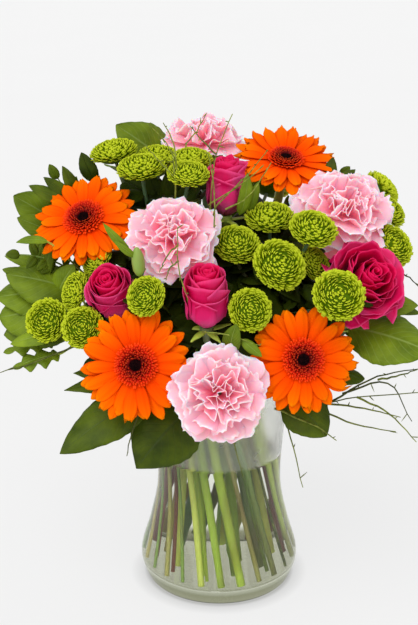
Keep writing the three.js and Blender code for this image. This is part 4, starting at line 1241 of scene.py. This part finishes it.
# Vase and water
vaseLook = {
    "outline": [(64, 0), (70, 22), (61, 56), (54.5, 92), (56.5, 138), (62, 190)],
    "wall": 3.5, "floor": 12, "round": 10, "steps": 8, "sides": 96, "waterLevel": 120, "waterGap": -0.2,
}


def spinProfile(name, profile, node, kind):
    bm = newMesh()
    verts = [bm.verts.new((out, 0, up)) for out, up in profile]
    edges = [bm.edges.new(pair) for pair in zip(verts, verts[1:])]
    bmesh.ops.spin(bm, geom=verts + edges, axis=(0, 0, 1), angle=fullTurn, steps=vaseLook["sides"],
                   use_merge=True)
    bmesh.ops.remove_doubles(bm, verts=bm.verts, dist=0.01)
    bmesh.ops.recalc_face_normals(bm, faces=bm.faces)
    for face in bm.faces:
        face.smooth = True
    finishPiece(name, bm, [kind], [node])


outline = [Vector((out, up)) for out, up in vaseLook["outline"]]
outside = smoothLine(outline, vaseLook["steps"])


def outerRadius(height):
    for low, high in zip(outside, outside[1:]):
        if low.y <= height <= high.y:
            return mix(low.x, high.x, (height - low.y) / (high.y - low.y))
    return outside[-1].x


def insideLine(top, margin):
    low = vaseLook["floor"] + margin
    corner = vaseLook["round"]
    wall = [point.y for point in outside if low + corner < point.y < top] + [top]
    centre = outerRadius(low + corner) - vaseLook["wall"] - margin - corner
    angles = [i * math.pi / 12 for i in range(7)]
    arc = [(centre + corner * math.sin(a), low + corner * (1 - math.cos(a))) for a in angles]
    return [(0, low), *arc, *[(outerRadius(y) - vaseLook["wall"] - margin, y) for y in wall]]


rim, lip = outline[-1], vaseLook["wall"] / 2
outerLine = [(0, 0), (outline[0].x - 3, 0), (outline[0].x - 1, 0.4)]
outerLine += [(point.x, point.y) for point in outside if 1 < point.y < rim.y - 2]
turns = [i * math.pi / 8 for i in range(9)]
rimLine = [(rim.x + lip * (math.cos(a) - 1), rim.y + lip * (math.sin(a) - 1)) for a in turns]
spinProfile("vaseGlass", outerLine + rimLine + insideLine(rim.y - 2, 0)[::-1], "vase", "glass")

level = vaseLook["waterLevel"]
waterLine = insideLine(level, vaseLook["waterGap"])
# The surface hangs a little in the middle.
waterLine += [(waterLine[-1][0] - 3, level - 0.6), (0, level - 0.8)]
spinProfile("vaseWater", waterLine, "water", "water")
print("vase made")

# Floor, light and camera
stage = {
    "floorSize": 40.0, "world": 0.6,
    "sun": {"from": (-0.4, -0.75, 1.0), "strength": 1.95, "softness": 60},
    "fill": {"at": (1.4, -1.2, 0.9), "aim": (0, 0, 0.25), "size": 1.2, "power": 3},
    "camera": {"at": (-0.009, -1.081, 0.623), "pitch": 19.2, "lens": 77.24, "sensor": 36},
}


def stand(name, data, at=(0, 0, 0), turned=(0, 0, 0)):
    made = bpy.data.objects.new(name, data)
    made.location = at
    made.rotation_euler = turned
    scene.collection.objects.link(made)
    return made


def shining(way):  # lamps shine along their own -Z
    return way.to_track_quat("-Z", "Y").to_euler()


bm = newMesh()
bmesh.ops.create_grid(bm, x_segments=1, y_segments=1, size=stage["floorSize"] / 2)
floorMesh = bpy.data.meshes.new("floor")
bm.to_mesh(floorMesh)
bm.free()
floorMesh.materials.append(finishes["floor"])
floor = stand("floor", floorMesh)

fill = bpy.data.lights.new("fillLight", "AREA")
fill.shape = "DISK"
fill.size = stage["fill"]["size"]
fill.energy = stage["fill"]["power"]
spot = Vector(stage["fill"]["at"])
stand("fillLight", fill, spot, shining(Vector(stage["fill"]["aim"]) - spot))

sun = bpy.data.lights.new("sunLight", "SUN")
sun.energy = stage["sun"]["strength"]
sun.angle = math.radians(stage["sun"]["softness"])
stand("sunLight", sun, turned=shining(-Vector(stage["sun"]["from"])))

world = bpy.data.worlds.new("studio")
scene.world = world
world.use_nodes = True
world.node_tree.nodes["Background"].inputs[0].default_value = (1.0, 1.0, 1.0, 1)
world.node_tree.nodes["Background"].inputs[1].default_value = stage["world"]

lens = bpy.data.cameras.new("camera")
lens.sensor_fit = "VERTICAL"
lens.sensor_height = stage["camera"]["sensor"]
lens.lens = stage["camera"]["lens"]
pitch = math.radians(90 - stage["camera"]["pitch"])
scene.camera = stand("camera", lens, stage["camera"]["at"], (pitch, 0, 0))

print("stage made")
